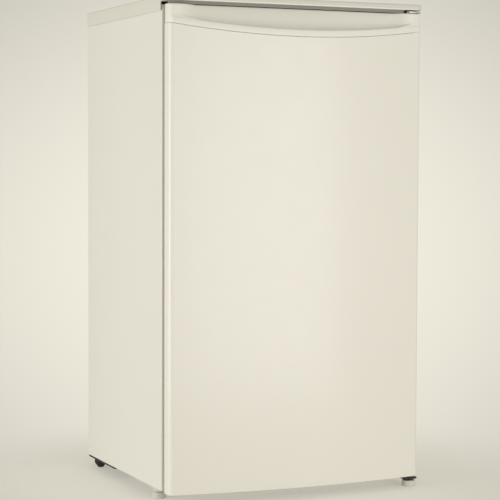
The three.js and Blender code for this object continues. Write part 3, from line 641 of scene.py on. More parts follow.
def refined(node, material, radius=0.0005, segments=2, angle=28.0):
    """The node's own solid with its faces merged and its edges rounded."""
    mesh = bmesh.new()
    mesh.from_mesh(frame["nodes"][node].data)
    bmesh.ops.remove_doubles(mesh, verts=mesh.verts, dist=0.00002)
    bmesh.ops.dissolve_limit(mesh, angle_limit=math.radians(1.0), verts=mesh.verts, edges=mesh.edges)
    thing = piece(node + "_moulded", mesh, material)
    stand_for(soften(thing, radius, segments, angle), node)


def repaint(node, material):
    """The node keeps its own shape and gets a finish."""
    thing = frame["nodes"][node]
    if not thing.material_slots:
        thing.data.materials.append(None)
    for place_of_finish in thing.material_slots:
        place_of_finish.link = "OBJECT"
        place_of_finish.material = material


grey_plastic = grained(finish("grey_plastic", PLASTIC_GREY, 0.5, drift=0.03), 900.0, 0.00004)
foam = finish("poured_foam", FOAM_CREAM, 0.9, drift=0.10, drift_scale=20.0, grain_scale=900.0,
              grain_height=0.0004)
refined("door_bottom_cap", grey_plastic)
repaint("door_foam", foam)
repaint("cabinet_foam", foam)

# Hinges. Stamped steel plates screwed to the cabinet's top and bottom, each with a riveted pin
# that turns in a nylon bush in the door; the bottom plate is black and its nut carries a foot.
BLACK_ENAMEL = (0.022, 0.022, 0.021)
ZINC = (0.60, 0.61, 0.61)
NYLON = (0.70, 0.69, 0.63)

black_enamel = finish("black_enamel", BLACK_ENAMEL, 0.38, drift=0.15, drift_scale=15.0,
                      grain_height=0.00005)
zinc = finish("zinc_plate", ZINC, 0.34, metallic=0.95, drift=0.10, drift_scale=40.0, wear=0.10,
              grain_scale=1500.0)
nylon = finish("nylon", NYLON, 0.45, drift=0.04, grain_scale=1200.0)
refined("top_hinge_bracket", zinc, 0.0004)
refined("bottom_hinge_bracket", black_enamel, 0.0004)
repaint("top_hinge_bush", nylon)
repaint("bottom_hinge_bush", nylon)

# Screws. Zinc-plated pan heads with a cross recess: two in each hinge plate and two that hold the
# worktop's skirt to the back of the cabinet.
SCREW_HEAD = 0.004
SCREW_SHANK = 0.0019
HEAD_HEIGHT = 0.0018
HEAD_TAPER = 0.72
RECESS_LENGTH = 0.0042
RECESS_WIDTH = 0.0008
RECESS_BARS = (("X", "Y"), ("Y", "X"))


def new_tree(name, sizes):
    """An empty geometry tree with named inputs for its sizes."""
    tree = bpy.data.node_groups.new(name, "GeometryNodeTree")
    tree.interface.new_socket("Geometry", in_out="INPUT", socket_type="NodeSocketGeometry")
    for size_name in sizes:
        tree.interface.new_socket(size_name, in_out="INPUT", socket_type="NodeSocketFloat")
    tree.interface.new_socket("Geometry", in_out="OUTPUT", socket_type="NodeSocketGeometry")
    return tree, tree.nodes.new("NodeGroupInput"), tree.nodes.new("NodeGroupOutput")


def close_tree(tree, out, shape, material):
    """Ends the tree with real geometry in its material."""
    real = node_in(tree, "GeometryNodeRealizeInstances", Geometry=shape)
    painted = node_in(tree, "GeometryNodeSetMaterial", Geometry=real.outputs[0], Material=material)
    tree.links.new(painted.outputs[0], out.inputs[0])


def evaluated(carrier):
    """The mesh that an object makes, without the object."""
    bpy.context.collection.objects.link(carrier)
    made = bpy.data.meshes.new_from_object(carrier.evaluated_get(bpy.context.evaluated_depsgraph_get()))
    bpy.data.objects.remove(carrier)
    mesh = bmesh.new()
    mesh.from_mesh(made)
    return mesh


def run_tree(name, tree, start, values, material):
    """Runs the tree on a mesh and keeps the result as a plain mesh."""
    carrier = bpy.data.objects.new(name + "_start", start)
    modifier = carrier.modifiers.new("tree", "NODES")
    modifier.node_group = tree
    ids = {item.name: item.identifier for item in tree.interface.items_tree if item.in_out == "INPUT"}
    for size_name, value in values.items():
        modifier[ids[size_name]] = value
    return piece(name, evaluated(carrier), material)


def screw_tree():
    tree, given, out = new_tree("pan_head_screw", ["Head Radius", "Shank Radius", "Head Height",
                                                   "Length", "Recess Length", "Recess Width"])
    size = given.outputs
    top_radius = maths(tree, "MULTIPLY", size["Head Radius"], HEAD_TAPER)
    head = node_in(tree, "GeometryNodeMeshCone", Vertices=20, Radius_Bottom=size["Head Radius"],
                   Radius_Top=top_radius, Depth=size["Head Height"])
    shape = head.outputs["Mesh"]
    rise = node_in(tree, "ShaderNodeCombineXYZ", Z=size["Head Height"]).outputs[0]
    for along, across in RECESS_BARS:
        bar_sizes = {along: size["Recess Length"], across: size["Recess Width"], "Z": size["Head Height"]}
        bar_size = node_in(tree, "ShaderNodeCombineXYZ", **bar_sizes).outputs[0]
        bar = node_in(tree, "GeometryNodeMeshCube", Size=bar_size).outputs["Mesh"]
        placed = node_in(tree, "GeometryNodeTransform", Geometry=bar, Translation=rise).outputs[0]
        shape = node_in(tree, "GeometryNodeMeshBoolean", {"operation": "DIFFERENCE"}, Mesh_1=shape,
                        Mesh_2=placed).outputs["Mesh"]
    shank = node_in(tree, "GeometryNodeMeshCylinder", Vertices=12, Radius=size["Shank Radius"],
                    Depth=size["Length"]).outputs["Mesh"]
    drop = maths(tree, "MULTIPLY", size["Length"], -0.5)
    down = node_in(tree, "ShaderNodeCombineXYZ", Z=drop).outputs[0]
    lowered = node_in(tree, "GeometryNodeTransform", Geometry=shank, Translation=down).outputs[0]
    joined = tree.nodes.new("GeometryNodeJoinGeometry")
    tree.links.new(shape, joined.inputs[0])
    tree.links.new(lowered, joined.inputs[0])
    facing = node_in(tree, "GeometryNodeInputNamedAttribute", {"data_type": "FLOAT_VECTOR"}, Name="facing")
    turned = node_in(tree, "FunctionNodeAlignRotationToVector", {"axis": "Z"},
                     Vector=facing.outputs["Attribute"])
    spread = node_in(tree, "GeometryNodeInstanceOnPoints", Points=given.outputs[0],
                     Instance=joined.outputs[0], Rotation=turned.outputs[0])
    close_tree(tree, out, spread.outputs[0], zinc)
    return tree


pan_head = screw_tree()


def screws(name, nodes_replaced, facing, length):
    seats = bpy.data.meshes.new(name)
    places = []
    for node in nodes_replaced:
        low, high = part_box(node)
        seat = (low + high) / 2
        for axis in range(3):
            if facing[axis]:
                seat[axis] = (high[axis] if facing[axis] > 0 else low[axis]) - facing[axis] * HEAD_HEIGHT
        places.append(seat)
    seats.from_pydata(places, [], [])
    facings = seats.attributes.new("facing", "FLOAT_VECTOR", "POINT")
    facings.data.foreach_set("vector", list(facing) * len(places))
    values = {"Head Radius": SCREW_HEAD, "Shank Radius": SCREW_SHANK, "Head Height": HEAD_HEIGHT,
              "Length": length, "Recess Length": RECESS_LENGTH, "Recess Width": RECESS_WIDTH}
    stand_for(run_tree(name, pan_head, seats, values, zinc), *nodes_replaced)


screws("upper_hinge_screws", ["top_hinge_screw_1", "top_hinge_screw_2"], (0, 0, 1), 0.009)
screws("lower_hinge_screws", ["bottom_hinge_screw_1", "bottom_hinge_screw_2"], (0, 0, -1), 0.010)
screws("skirt_screws", ["worktop_screw_1", "worktop_screw_2"], (0, 1, 0), 0.008)

# Feet. The front two are fluted grey plastic knobs on threaded studs, for levelling by hand; the
# rear two are plain black rubber.
FLUTES = 20
FLUTE_DEPTH = 0.0005
FOOT_GRIP = 0.0105
FOOT_STUD = 0.004
THREAD_TURNS = 5
FOOT_GREY = (0.66, 0.65, 0.61)
RUBBER_BLACK = (0.018, 0.018, 0.017)


def lathe(profile, centre, sides, ripple=None):
    """A closed turned piece on a vertical axis; the profile is (radius, height) from foot to top."""
    rings = []
    for r, z in profile:
        ring = []
        for k in range(sides):
            angle = 2 * math.pi * k / sides
            reach = r - (ripple(angle, r, z) if ripple else 0.0)
            ring.append((centre.x + reach * math.cos(angle), centre.y + reach * math.sin(angle), z))
        rings.append(ring)
    return skin_between(rings)


def levelling_foot(node):
    low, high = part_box(node)
    middle = (low + high) / 2
    radius = (high.x - low.x) / 2
    grip_top = low.z + FOOT_GRIP

    def flute(angle, r, z):
        if low.z + 0.002 < z < grip_top - 0.001 and r > radius - 0.001:
            return FLUTE_DEPTH * (1 + math.cos(angle * FLUTES)) / 2
        return 0.0

    profile = [(radius * 0.75, low.z), (radius - 0.001, low.z), (radius - 0.0003, low.z + 0.0004)]
    profile += [(radius, low.z + rise) for rise in (0.0012, 0.0019, 0.0025)]
    profile += [(radius, grip_top - 0.0020), (radius, grip_top - 0.0012),
                (radius - 0.0003, grip_top - 0.0005), (radius - 0.001, grip_top),
                (FOOT_STUD + 0.0004, grip_top)]
    for k in range(THREAD_TURNS * 2):
        z = grip_top + (high.z - grip_top) * (k + 0.5) / (THREAD_TURNS * 2)
        profile.append((FOOT_STUD if k % 2 else FOOT_STUD - 0.0005, z))
    profile.append((FOOT_STUD - 0.0004, high.z))
    stand_for(piece(node + "_knob", lathe(profile, middle, FLUTES * 8, flute), foot_plastic), node)


foot_plastic = finish("foot_plastic", FOOT_GREY, 0.45, drift=0.03, grain_scale=1100.0)
levelling_foot("front_left_foot")
levelling_foot("front_right_foot")
refined("front_left_foot_collar", foot_plastic, 0.0004)
rubber = finish("black_rubber", RUBBER_BLACK, 0.75, drift=0.20, drift_scale=30.0, grain_scale=900.0,
                grain_height=0.00008)
for node in ("rear_left_foot", "rear_right_foot"):
    low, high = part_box(node)
    middle = (low + high) / 2
    radius = (high.x - low.x) / 2
    half = (low.z + high.z) / 2
    profile = [(0.003, low.z), (0.0042, low.z), (0.005, low.z + 0.0006), (radius - 0.0008, half - 0.0008),
               (radius, half + 0.0006), (radius, high.z - 0.0008), (radius - 0.0008, high.z)]
    stand_for(piece(node + "_pad", lathe(profile, middle, 40), rubber), node)

# Cabinet metalwork. The top and front rail are white enamelled, the base plate is bare galvanised
# steel and the back is a plain sheet with its grey primer left showing.
PRIMER_GREY = (0.50, 0.50, 0.48)


def spangled(material, scale):
    """Gives a metal the frozen crystal pattern of hot-dip galvanising."""
    tree = material.node_tree
    crystals = node_in(tree, "ShaderNodeTexVoronoi", Scale=scale, Vector=place_in(material))
    bright = node_in(tree, "ShaderNodeSeparateColor", n0=crystals.outputs["Color"])
    tree.links.new(bright.outputs[0], tree.nodes["Mix"].inputs[0])
    return material


galvanised = spangled(finish("galvanised", ZINC, 0.42, metallic=0.9, drift=0.14, wear=0.12), 90.0)
primer = finish("grey_primer", PRIMER_GREY, 0.5, drift=0.04, drift_scale=4.0, wear=0.08, grain_scale=400.0)
refined("cabinet_top_panel", enamel, 0.0003)
refined("lower_front_rail", enamel, 0.0003)
refined("base_plate", galvanised, 0.0003)
refined("back_panel", primer, 0.0002)

# Compressor and its bay. A black welded steel pot on four rubber grommets, with a plastic cover
# over its terminals and a tray above it where defrost water dries off. One copper pipe runs to the
# condenser, one comes down from the freezer, and a capillary tube leaves the drier.
COPPER = (0.62, 0.30, 0.16)
COVER_BLACK = (0.03, 0.03, 0.03)
POT_RADIUS = 0.047
POT_SEAM = 0.060
POT_DOME = 0.024
POT_SQUARENESS = 0.62
POT_FLOOR = 0.030
POT_TURN = 0.012
POT_TURN_RISE = 0.0134
DISCHARGE_PORT = 0.040
SUCTION_PORT = (0.012, 0.042)
SUCTION_TURN = 0.0157
FOOT_PLATE = 0.003
PIPE = 0.003
PIPE_BEND = 0.009
NECK = 0.010
CAPILLARY = 0.0011
CAPILLARY_BEND = 0.006
CAPILLARY_DROP = 0.012
COIL_TUBE = 0.0024
COIL_TAIL = 0.060
COIL_END = 0.008

refined("compressor_base", black_enamel, 0.0003)
for k in range(1, 5):
    repaint(f"compressor_grommet_{k}", rubber)
repaint("cord_gland", rubber)
cover_plastic = grained(finish("cover_plastic", COVER_BLACK, 0.5), 900.0, 0.00005)
refined("compressor_terminal_cover", cover_plastic, 0.0015, 3)
refined("evaporation_pan", grey_plastic, 0.0008)


def add_shell(mesh, shell):
    """Puts a second closed shell into the mesh."""
    kept = bpy.data.meshes.new("shell")
    shell.to_mesh(kept)
    shell.free()
    mesh.from_mesh(kept)


def compressor():
    low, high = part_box("compressor")
    seam, dome = low.z + POT_SEAM, high.z - POT_DOME
    lower, upper = POT_RADIUS - 0.002, POT_RADIUS - 0.003
    profile = [(POT_FLOOR, low.z + 0.0006)]
    for sine, cosine in quarter(8, 1):
        profile.append((lower - POT_TURN + POT_TURN * sine, low.z + 0.0006 + POT_TURN_RISE * (1 - cosine)))
    profile += [(lower, seam - 0.0008), (POT_RADIUS - 0.0006, seam), (POT_RADIUS, seam + 0.0008),
                (POT_RADIUS, seam + 0.0052), (POT_RADIUS - 0.0006, seam + 0.006), (upper, seam + 0.0066),
                (upper, dome)]
    for sine, cosine in quarter(12, 1)[:-1]:
        profile.append((upper * cosine ** POT_SQUARENESS, dome + (POT_DOME - 0.0002) * sine))
    profile.append((0.002, high.z - 0.0001))
    pot = lathe(profile, (low + high) / 2, 64)
    plan = rounded_rectangle(low.x, high.x, low.y, high.y, 0.008)
    add_shell(pot, skin_between([[(p.x, p.y, z) for p in plan] for z in (low.z, low.z + FOOT_PLATE)]))
    return pot


stand_for(soften(piece("compressor_pot", compressor(), black_enamel), 0.0004, 2, 50.0), "compressor")
copper_tube = finish("copper_tube", COPPER, 0.30, metallic=1.0, drift=0.22, drift_scale=25.0, wear=0.12,
                     grain_scale=300.0)


def tube(corners, radius, bend, sides=20):
    """A round tube through the corners, with smooth bends."""
    line = bpy.data.curves.new("tube", "CURVE")
    line.dimensions = "3D"
    points = []
    for i, corner in enumerate(corners):
        corner = Vector(corner)
        if i in (0, len(corners) - 1):
            points.append(corner)
            continue
        before = (Vector(corners[i - 1]) - corner).normalized()
        after = (Vector(corners[i + 1]) - corner).normalized()
        half = before.angle(after) / 2
        reach = bend / math.tan(half)
        middle = corner + (before + after).normalized() * (bend / math.sin(half))
        start = (corner + before * reach - middle).normalized()
        end = (corner + after * reach - middle).normalized()
        points += [middle + start.slerp(end, k / 8) * bend for k in range(9)]
    strand = line.splines.new("POLY")
    strand.points.add(len(points) - 1)
    for spot, point in zip(strand.points, points):
        spot.co = (*point, 1.0)
    line.bevel_depth = radius
    line.bevel_resolution = sides // 4
    line.use_fill_caps = True
    mesh = evaluated(bpy.data.objects.new("tube", line))
    bmesh.ops.remove_doubles(mesh, verts=mesh.verts, dist=0.00001)
    return mesh


def drier():
    """A fat tube spun down at both ends to the size of the pipe."""
    low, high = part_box("filter_drier")
    body = (high.x - low.x) / 2
    profile = [(PIPE - 0.0006, low.z), (PIPE, low.z + 0.0006), (PIPE, low.z + NECK)]
    swell = [(body - PIPE) * smooth_step(k / 8, 0.0, 1.0) for k in range(9)]
    profile += [(PIPE + more, low.z + NECK * (1 + k / 8)) for k, more in enumerate(swell)]
    profile += [(body - less, high.z - NECK * (2 - k / 8)) for k, less in enumerate(swell)]
    profile += [(PIPE, high.z - 0.0006), (PIPE - 0.0006, high.z)]
    return lathe(profile, (low + high) / 2, 32)


pot = sum(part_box("compressor"), Vector()) / 2
low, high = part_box("discharge_pipe")
up_x, up_y, run_z = high.x - PIPE, high.y - PIPE, low.z + PIPE
coil_low, coil_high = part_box("condenser_coil")
join_x, join_z = coil_high.x - COIL_TUBE - COIL_TAIL, coil_low.z + COIL_END
route = [(pot.x + DISCHARGE_PORT, pot.y, run_z), (up_x, pot.y, run_z), (up_x, up_y, run_z),
         (up_x, up_y, join_z), (join_x - 0.001, up_y, join_z)]
stand_for(piece("discharge_line", tube(route, PIPE, PIPE_BEND), copper_tube), "discharge_pipe")
low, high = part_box("suction_pipe")
up_x, front_y, rear_y = low.x + PIPE, low.y + PIPE, high.y - PIPE
run_z, turn_z = low.z + PIPE, high.z - SUCTION_TURN
port_x, port_y = pot.x - SUCTION_PORT[0], pot.y - SUCTION_PORT[1]
route = [(port_x, port_y, run_z), (port_x, front_y, run_z), (up_x, front_y, run_z),
         (up_x, front_y, turn_z), (up_x, rear_y, turn_z), (up_x, rear_y, high.z)]
stand_for(piece("suction_line", tube(route, PIPE, 0.004), copper_tube), "suction_pipe")
stand_for(piece("drier_tube", drier(), copper_tube), "filter_drier")
drier_low, drier_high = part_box("filter_drier")
at_x, at_y = (drier_low.x + drier_high.x) / 2, (drier_low.y + drier_high.y) / 2
under = drier_low.z - CAPILLARY_DROP
inlet = tube([(at_x, at_y, drier_high.z - 0.002), (at_x, at_y, high.z)], COIL_TUBE, 0.0)
route = [(at_x, at_y, drier_low.z + 0.002), (at_x, at_y, under), (up_x - 0.005, at_y, under),
         (up_x - 0.005, rear_y, under), (up_x - 0.005, rear_y, high.z)]
capillary = tube(route, CAPILLARY, CAPILLARY_BEND)
added_to(piece("drier_inlet", inlet, copper_tube), "filter_drier")
added_to(piece("capillary_tube", capillary, copper_tube), "filter_drier")

# Condenser. A long black steel tube folded back and forth behind the cabinet, with dozens of thin
# steel wires welded across both of its faces and three upright straps, on two brackets.
WIRE = 0.0008
WIRE_SPACING = 0.0075
WIRE_MARGIN = 0.026
STRAPS_AT = (-0.120, 0.0, 0.120)
STRAP_HALF = 0.006
STRAP_REACH = COIL_TUBE + 0.0011
COIL_RUNS = 11


def wire_tree():
    tree, given, out = new_tree("cooling_wires", ["Wire Radius", "Length", "Spacing", "Width", "Reach"])
    size = given.outputs
    count = maths(tree, "FLOOR", maths(tree, "DIVIDE", size["Width"], size["Spacing"]))
    ends = []
    for share in (-0.5, 0.5):
        half = maths(tree, "MULTIPLY", size["Width"], share)
        ends.append(node_in(tree, "ShaderNodeCombineXYZ", X=half).outputs[0])
    row = node_in(tree, "GeometryNodeMeshLine", {"mode": "END_POINTS"}, Start_Location=ends[0],
                  Offset=ends[1], Count=count)
    rod = node_in(tree, "GeometryNodeMeshCylinder", Vertices=6, Radius=size["Wire Radius"],
                  Depth=size["Length"])
    rows = tree.nodes.new("GeometryNodeJoinGeometry")
    for side in (-1, 1):
        reach = maths(tree, "MULTIPLY", size["Reach"], side)
        move = node_in(tree, "ShaderNodeCombineXYZ", Y=reach)
        moved = node_in(tree, "GeometryNodeTransform", Geometry=row.outputs[0], Translation=move.outputs[0])
        tree.links.new(moved.outputs[0], rows.inputs[0])
    hung = node_in(tree, "GeometryNodeInstanceOnPoints", Points=rows.outputs[0],
                   Instance=rod.outputs["Mesh"])
    around = node_in(tree, "GeometryNodeInstanceOnPoints", Points=given.outputs[0],
                     Instance=hung.outputs[0])
    close_tree(tree, out, around.outputs[0], black_enamel)
    return tree


def condenser():
    low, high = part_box("condenser_coil")
    middle = (low + high) / 2
    first, last = low.z + COIL_END, high.z - COIL_END
    pitch = (last - first) / (COIL_RUNS - 1)
    half = high.x - COIL_TUBE
    corners = [(half - COIL_TAIL, middle.y, first)]
    for run in range(COIL_RUNS):
        side = -1 if run % 2 == 0 else 1
        z = first + run * pitch
        if run < COIL_RUNS - 1:
            corners += [(side * half, middle.y, z), (side * half, middle.y, z + pitch)]
        else:
            corners.append((side * (half - COIL_TAIL), middle.y, z))
    coil = tube(corners, COIL_TUBE, pitch / 2 - 0.0005, 16)
    start = bpy.data.meshes.new("wires")
    start.from_pydata([middle], [], [])
    values = {"Wire Radius": WIRE, "Length": high.z - low.z - 0.004, "Spacing": WIRE_SPACING,
              "Width": 2 * (half - WIRE_MARGIN), "Reach": COIL_TUBE + WIRE * 0.8}
    wires = run_tree("wires", wire_tree(), start, values, black_enamel)
    coil.from_mesh(wires.data)
    bpy.data.objects.remove(wires)
    for x in STRAPS_AT:
        rings = []
        for z, tuck in ((low.z, 0.0005), (low.z + 0.001, 0.0), (high.z - 0.001, 0.0), (high.z, 0.0005)):
            wide, deep = STRAP_HALF - tuck, STRAP_REACH - tuck
            rings.append([(x + a * wide, middle.y + b * deep, z)
                          for a, b in ((-1, -1), (1, -1), (1, 1), (-1, 1))])
        add_shell(coil, skin_between(rings))
    return coil


stand_for(piece("condenser_grille", condenser(), black_enamel), "condenser_coil")
refined("condenser_left_bracket", black_enamel, 0.0008)
refined("condenser_right_bracket", black_enamel, 0.0008)

# Food space. A glossy white liner formed from one plastic sheet, with soft inner corners and
# ledges for the shelves, trimmed by a flat rim behind the door seal.
LINER_WHITE = (0.83, 0.83, 0.80)

liner_plastic = finish("liner_plastic", LINER_WHITE, 0.30, drift=0.012, drift_scale=5.0, wear=0.03,
                       grain_scale=900.0, grain_height=0.000006, Coat_Weight=0.15, Coat_Roughness=0.15)
refined("inner_liner", liner_plastic, 0.0045, 3, 40.0)

# Shelves and cover. Toughened glass plates with ground edges; each shelf has a white moulded trim
# along its front, and a glass plate covers the crisper.
GLASS_GREEN = (0.78, 0.90, 0.86)
CLEAR = (0.90, 0.92, 0.90)
SHEER_GLASS = 0.35
SHEER_PLASTIC = 0.36


def see_through(material, alpha):
    material.node_tree.nodes["Principled BSDF"].inputs["Alpha"].default_value = alpha
    return material


glass = finish("shelf_glass", GLASS_GREEN, 0.08, wear=0.04, grain_height=0.000003, Coat_Weight=0.5,
               Coat_Roughness=0.03)
shelf_glass = see_through(glass, SHEER_GLASS)
clear = finish("clear_plastic", CLEAR, 0.16, wear=0.05, drift=0.02, grain_scale=900.0,
               grain_height=0.000008, Coat_Weight=0.3)
clear_plastic = see_through(clear, SHEER_PLASTIC)
for node in ("upper_shelf_glass", "lower_shelf_glass", "crisper_cover"):
    refined(node, shelf_glass, 0.0008)
for node in ("upper_shelf_trim", "lower_shelf_trim"):
    refined(node, liner_plastic, 0.0012, 3)

# Crisper, bins and drip tray. Injection-moulded tubs with drawn-in floors, a rolled rim and, on
# the clear ones, moulded ribs along the front.
RIM_LIP = 0.0012
RIM_DEPTH = 0.004
TUB_FOOT = 0.003
RIBS_AT = (0.35, 0.45, 0.55, 0.65)
RIB_SECTION = ((0.0, -0.0016), (-0.0008, -0.0006), (-0.0008, 0.0006), (0.0, 0.0016))
CORNER_STEPS = 8
EDGE_STEPS = 24


def tub(node, material, wall, corner, draft, dip=0.0):
    """An open tub inside the node's box. A tub whose front edge dips in the middle has ribs too."""
    low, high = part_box(node)
    span = (high.x - low.x) / 2
    front_y = high.y if node.startswith("door_bin") else low.y

    def ring(inset, z, front_dip=0.0):
        outline = rounded_rectangle(low.x + inset, high.x - inset, low.y + inset, high.y - inset,
                                    max(corner - inset, 0.002), CORNER_STEPS)
        points = []
        for k, here in enumerate(outline):
            steps = EDGE_STEPS if k % (CORNER_STEPS + 1) == CORNER_STEPS else 1
            there = outline[(k + 1) % len(outline)]
            points += [here.lerp(there, j / steps) for j in range(steps)]
        level = []
        for spot in points:
            near = abs(spot.y - front_y) < corner
            fall = front_dip * (math.cos(min(abs(spot.x) / span, 1.0) * math.pi) + 1) / 2 if near else 0.0
            level.append((spot.x, spot.y, z - fall))
        return level

    rings = [ring(draft + TUB_FOOT, low.z)]
    for sine, cosine in quarter(4, 1):
        rings.append(ring(draft + TUB_FOOT * (1 - sine), low.z + TUB_FOOT * (1 - cosine)))
    under_lip = high.z - RIM_DEPTH
    for share in RIBS_AT if dip else ():
        z = low.z + (under_lip - low.z) * share
        at = draft * (1 - (z - low.z) / (high.z - low.z)) + RIM_LIP
        rings += [ring(at + inset, z + rise) for inset, rise in RIB_SECTION]
    rim = [(RIM_LIP + 0.0003, under_lip), (0.0002, under_lip), (0.0, under_lip + 0.0004),
           (0.0, high.z - 0.0007), (0.0007, high.z), (wall - 0.0006, high.z), (wall, high.z - 0.0006),
           (wall + 0.0004, under_lip)]
    rings += [ring(inset, z, dip) for inset, z in rim]
    rings.append(ring(wall + draft, low.z + wall + TUB_FOOT))
    for sine, cosine in quarter(4, 1):
        rings.append(ring(wall + draft + TUB_FOOT * (1 - cosine), low.z + wall + TUB_FOOT * (1 - sine)))
    stand_for(piece(node + "_tub", skin_between(rings), material), node)


tub("crisper_drawer", clear_plastic, 0.0025, 0.012, 0.005, dip=0.012)
tub("drip_tray", liner_plastic, 0.002, 0.008, 0.002)
for k in (1, 2, 3):
    tub(f"door_bin_{k}", clear_plastic, 0.0025, 0.010, 0.004, dip=0.010)

# Freezer. A box of bare roll-bonded aluminium whose raised channels carry the refrigerant, with a
# frosted plastic flap across its front.
CHANNEL_HEIGHT = 0.0015
CHANNEL_PITCH = 0.044
ROLLED_ALUMINIUM = (0.74, 0.75, 0.75)
FROSTED = (0.82, 0.87, 0.88)
SHEER_FLAP = 0.82
FLAP_CORNER = 0.008
GRIP_FROM_SIDE = 0.060
GRIP_HALF_WIDTH = 0.045
GRIP_HALF_HEIGHT = 0.006


def channelled(material, pitch, height):
    """Raises rounded channels that run from front to back, a pitch apart."""
    tree = material.node_tree
    bands = node_in(tree, "ShaderNodeTexWave", {"wave_profile": "SIN"}, Scale=math.pi / 10 / pitch,
                    Distortion=0.0, Vector=place_in(material))
    crest = node_in(tree, "ShaderNodeMapRange", {"interpolation_type": "SMOOTHSTEP"},
                    Value=bands.outputs["Fac"], From_Min=0.72, From_Max=0.94)
    return relieved(material, crest.outputs["Result"], height)


aluminium = channelled(finish("rolled_aluminium", ROLLED_ALUMINIUM, 0.40, metallic=0.9, drift=0.04,
                              drift_scale=12.0, wear=0.05, grain_scale=900.0, grain_height=0.000008),
                       CHANNEL_PITCH, CHANNEL_HEIGHT)
frosted = see_through(finish("frosted_flap", FROSTED, 0.35, drift=0.02, grain_height=0.00005),
                      SHEER_FLAP)
refined("freezer_box", aluminium, 0.0008)


def freezer_flap():
    low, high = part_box("freezer_door")
    middle = (low + high) / 2
    rear = high.y
    deep = high.y - low.y

    def sheet(inset, y):
        outline = rounded_rectangle(low.x + inset, high.x - inset, low.z + inset, high.z - inset,
                                    max(FLAP_CORNER - inset, 0.002))
        return [(p.x, y, p.y) for p in outline]

    steps = [(0.0012, 0.0), (0.0, 0.001 / deep), (0.0, 0.62), (0.0010, 0.72), (0.006, 0.74),
             (0.008, 0.60), (0.012, 0.58), (0.014, 0.66)]
    flap = skin_between([sheet(inset, rear - deep * share) for inset, share in steps])
    grip_x = low.x + GRIP_FROM_SIDE
    levels = []
    for y, tuck in ((rear - deep * 0.60, 0.0), (low.y + 0.001, 0.0), (low.y, 0.001)):
        wide, tall = GRIP_HALF_WIDTH - tuck, GRIP_HALF_HEIGHT - tuck
        outline = rounded_rectangle(grip_x - wide, grip_x + wide, middle.z - tall, middle.z + tall, 0.005, 5)
        levels.append([(p.x, y, p.y) for p in outline])
    add_shell(flap, skin_between(levels))
    return flap


stand_for(piece("freezer_flap", freezer_flap(), frosted), "freezer_door")

# Thermostat. A white moulded housing and a grey knob whose face carries plain dial marks; the bar
# across the knob is its pointer.
KNOB_GREY = (0.62, 0.62, 0.60)
MARK_INK = (0.06, 0.06, 0.07, 1.0)
MARK_COUNT = 12
MARK_FROM = 0.0105
MARK_TO = 0.0128
MARK_WIDTH = 0.07

refined("thermostat_housing", liner_plastic, 0.0025, 4)


def dial_marks(material, centre, count, inner, outer):
    """Printed marks fanned round a point on the knob's face, darker than the plastic."""
    tree = material.node_tree
    shift = node_in(tree, "ShaderNodeVectorMath", {"operation": "SUBTRACT"}, n0=place_in(material), n1=centre)
    parts = node_in(tree, "ShaderNodeSeparateXYZ", n0=shift.outputs[0])
    across, up = parts.outputs[0], parts.outputs[2]
    squares = [maths(tree, "MULTIPLY", side, side) for side in (across, up)]
    radius = maths(tree, "SQRT", maths(tree, "ADD", *squares))
    turn = maths(tree, "MULTIPLY", maths(tree, "ARCTAN2", up, across), count / (2 * math.pi))
    from_mark = maths(tree, "ABSOLUTE", maths(tree, "SUBTRACT", maths(tree, "FRACT", turn), 0.5))
    spoke = maths(tree, "LESS_THAN", from_mark, MARK_WIDTH)
    band = maths(tree, "MULTIPLY", maths(tree, "GREATER_THAN", radius, inner),
                 maths(tree, "LESS_THAN", radius, outer))
    ink = node_in(tree, "ShaderNodeMix", {"data_type": "RGBA"}, n0=maths(tree, "MULTIPLY", spoke, band),
                  n6=tree.nodes["Mix"].outputs[2], n7=MARK_INK)
    tree.links.new(ink.outputs[2], tree.nodes["Principled BSDF"].inputs["Base Color"])
    return material


knob_low, knob_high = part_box("thermostat_knob")
knob_plastic = dial_marks(finish("knob_plastic", KNOB_GREY, 0.4, drift=0.02, grain_scale=900.0),
                          (knob_low + knob_high) / 2, MARK_COUNT, MARK_FROM, MARK_TO)
refined("thermostat_knob", knob_plastic, 0.0006)

# Inner door. The same white plastic, formed over two upright ridges that hold the bins, with a
# ledge under each bin.
RIDGE_WIDTH = 0.010
RIDGE_FLARE = 0.009
RIDGE_SIDE = 0.0022
RIDGE_RAMP = 0.016
RIDGE_LOW = 0.0785
RIDGE_HIGH = 0.759
LEDGE_REACH = 0.005
LEDGE_DEPTH = 0.0047
FORMED_SHEET = 0.002
FORMED_EDGE = 0.0006

liner_low, liner_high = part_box("door_liner")
liner_face = liner_low.y + FORMED_SHEET
ridge_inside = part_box("door_bin_1")[1].x + 0.001
ledge_tops = [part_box(f"door_bin_{k}")[0].z - 0.0003 for k in (1, 2, 3)]
ridge_tall = liner_high.y - liner_face


def formed_height(x, z):
    """How far the formed sheet stands into the food space at a point of the door."""
    across = abs(x) - ridge_inside
    rise = smooth_step(across, 0.0, RIDGE_SIDE)
    fall = smooth_step(across, RIDGE_WIDTH * 0.7, RIDGE_WIDTH + RIDGE_FLARE)
    start = smooth_step(z, RIDGE_LOW, RIDGE_LOW + RIDGE_RAMP)
    stop = smooth_step(z, RIDGE_HIGH - RIDGE_RAMP, RIDGE_HIGH)
    height = ridge_tall * (rise * (1 - fall)) * (start * (1 - stop))
    if -LEDGE_REACH <= across < RIDGE_WIDTH:
        for top_of_ledge in ledge_tops:
            if top_of_ledge - LEDGE_DEPTH - 0.0001 <= z <= top_of_ledge + 0.00001:
                height = max(height, ridge_tall - 0.004)
    return height


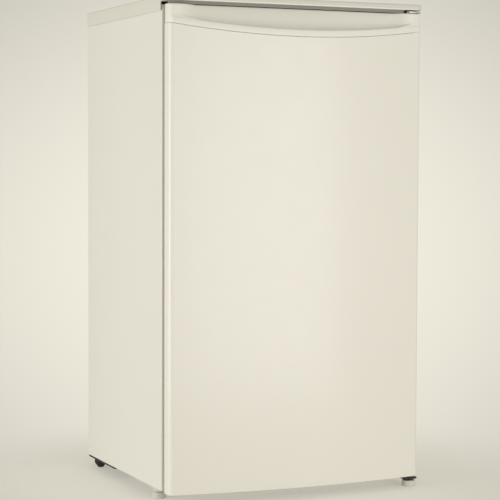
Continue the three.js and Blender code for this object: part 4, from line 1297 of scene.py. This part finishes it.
def door_liner():
    half = liner_high.x
    ledge_end = ridge_inside - LEDGE_REACH
    flank = RIDGE_WIDTH * 0.3 + RIDGE_FLARE
    xs = [0.0, 0.06, 0.12, ridge_inside - 0.02, ledge_end - 0.0001, ledge_end]
    xs += [ridge_inside + RIDGE_SIDE * k / 5 for k in range(6)]
    xs += [ridge_inside + RIDGE_WIDTH * 0.7 + flank * k / 9 for k in range(10)]
    xs += [half - 0.008, half - FORMED_EDGE, half]
    xs = sorted(set([-x for x in xs] + xs))
    zs = [liner_low.z, liner_low.z + FORMED_EDGE, liner_high.z - FORMED_EDGE, liner_high.z]
    zs += [RIDGE_LOW + RIDGE_RAMP * k / 7 for k in range(8)]
    zs += [RIDGE_HIGH - RIDGE_RAMP * k / 7 for k in range(8)]
    for top_of_ledge in ledge_tops:
        foot = top_of_ledge - LEDGE_DEPTH
        zs += [foot - 0.0002, foot, top_of_ledge, top_of_ledge + 0.0002]
    zs = sorted(set(round(z, 6) for z in zs))
    mesh = bmesh.new()
    front, rear = [], []
    for x in xs:
        edge_x = half - abs(x) < 0.0003
        front.append([])
        rear.append([])
        for z in zs:
            tuck = FORMED_EDGE if edge_x or z in (zs[0], zs[-1]) else 0.0
            front[-1].append(mesh.verts.new((x, liner_face + formed_height(x, z) - tuck, z)))
            rear[-1].append(mesh.verts.new((x, liner_low.y, z)))
    for i in range(len(xs) - 1):
        for k in range(len(zs) - 1):
            mesh.faces.new((front[i][k], front[i + 1][k], front[i + 1][k + 1], front[i][k + 1]))
            mesh.faces.new((rear[i][k], rear[i][k + 1], rear[i + 1][k + 1], rear[i + 1][k]))
    for i in range(len(xs) - 1):
        for k in (0, len(zs) - 1):
            mesh.faces.new((front[i][k], rear[i][k], rear[i + 1][k], front[i + 1][k]))
    for k in range(len(zs) - 1):
        for i in (0, len(xs) - 1):
            mesh.faces.new((front[i][k], front[i][k + 1], rear[i][k + 1], rear[i][k]))
    return mesh


stand_for(piece("formed_door_liner", door_liner(), liner_plastic), "door_liner")
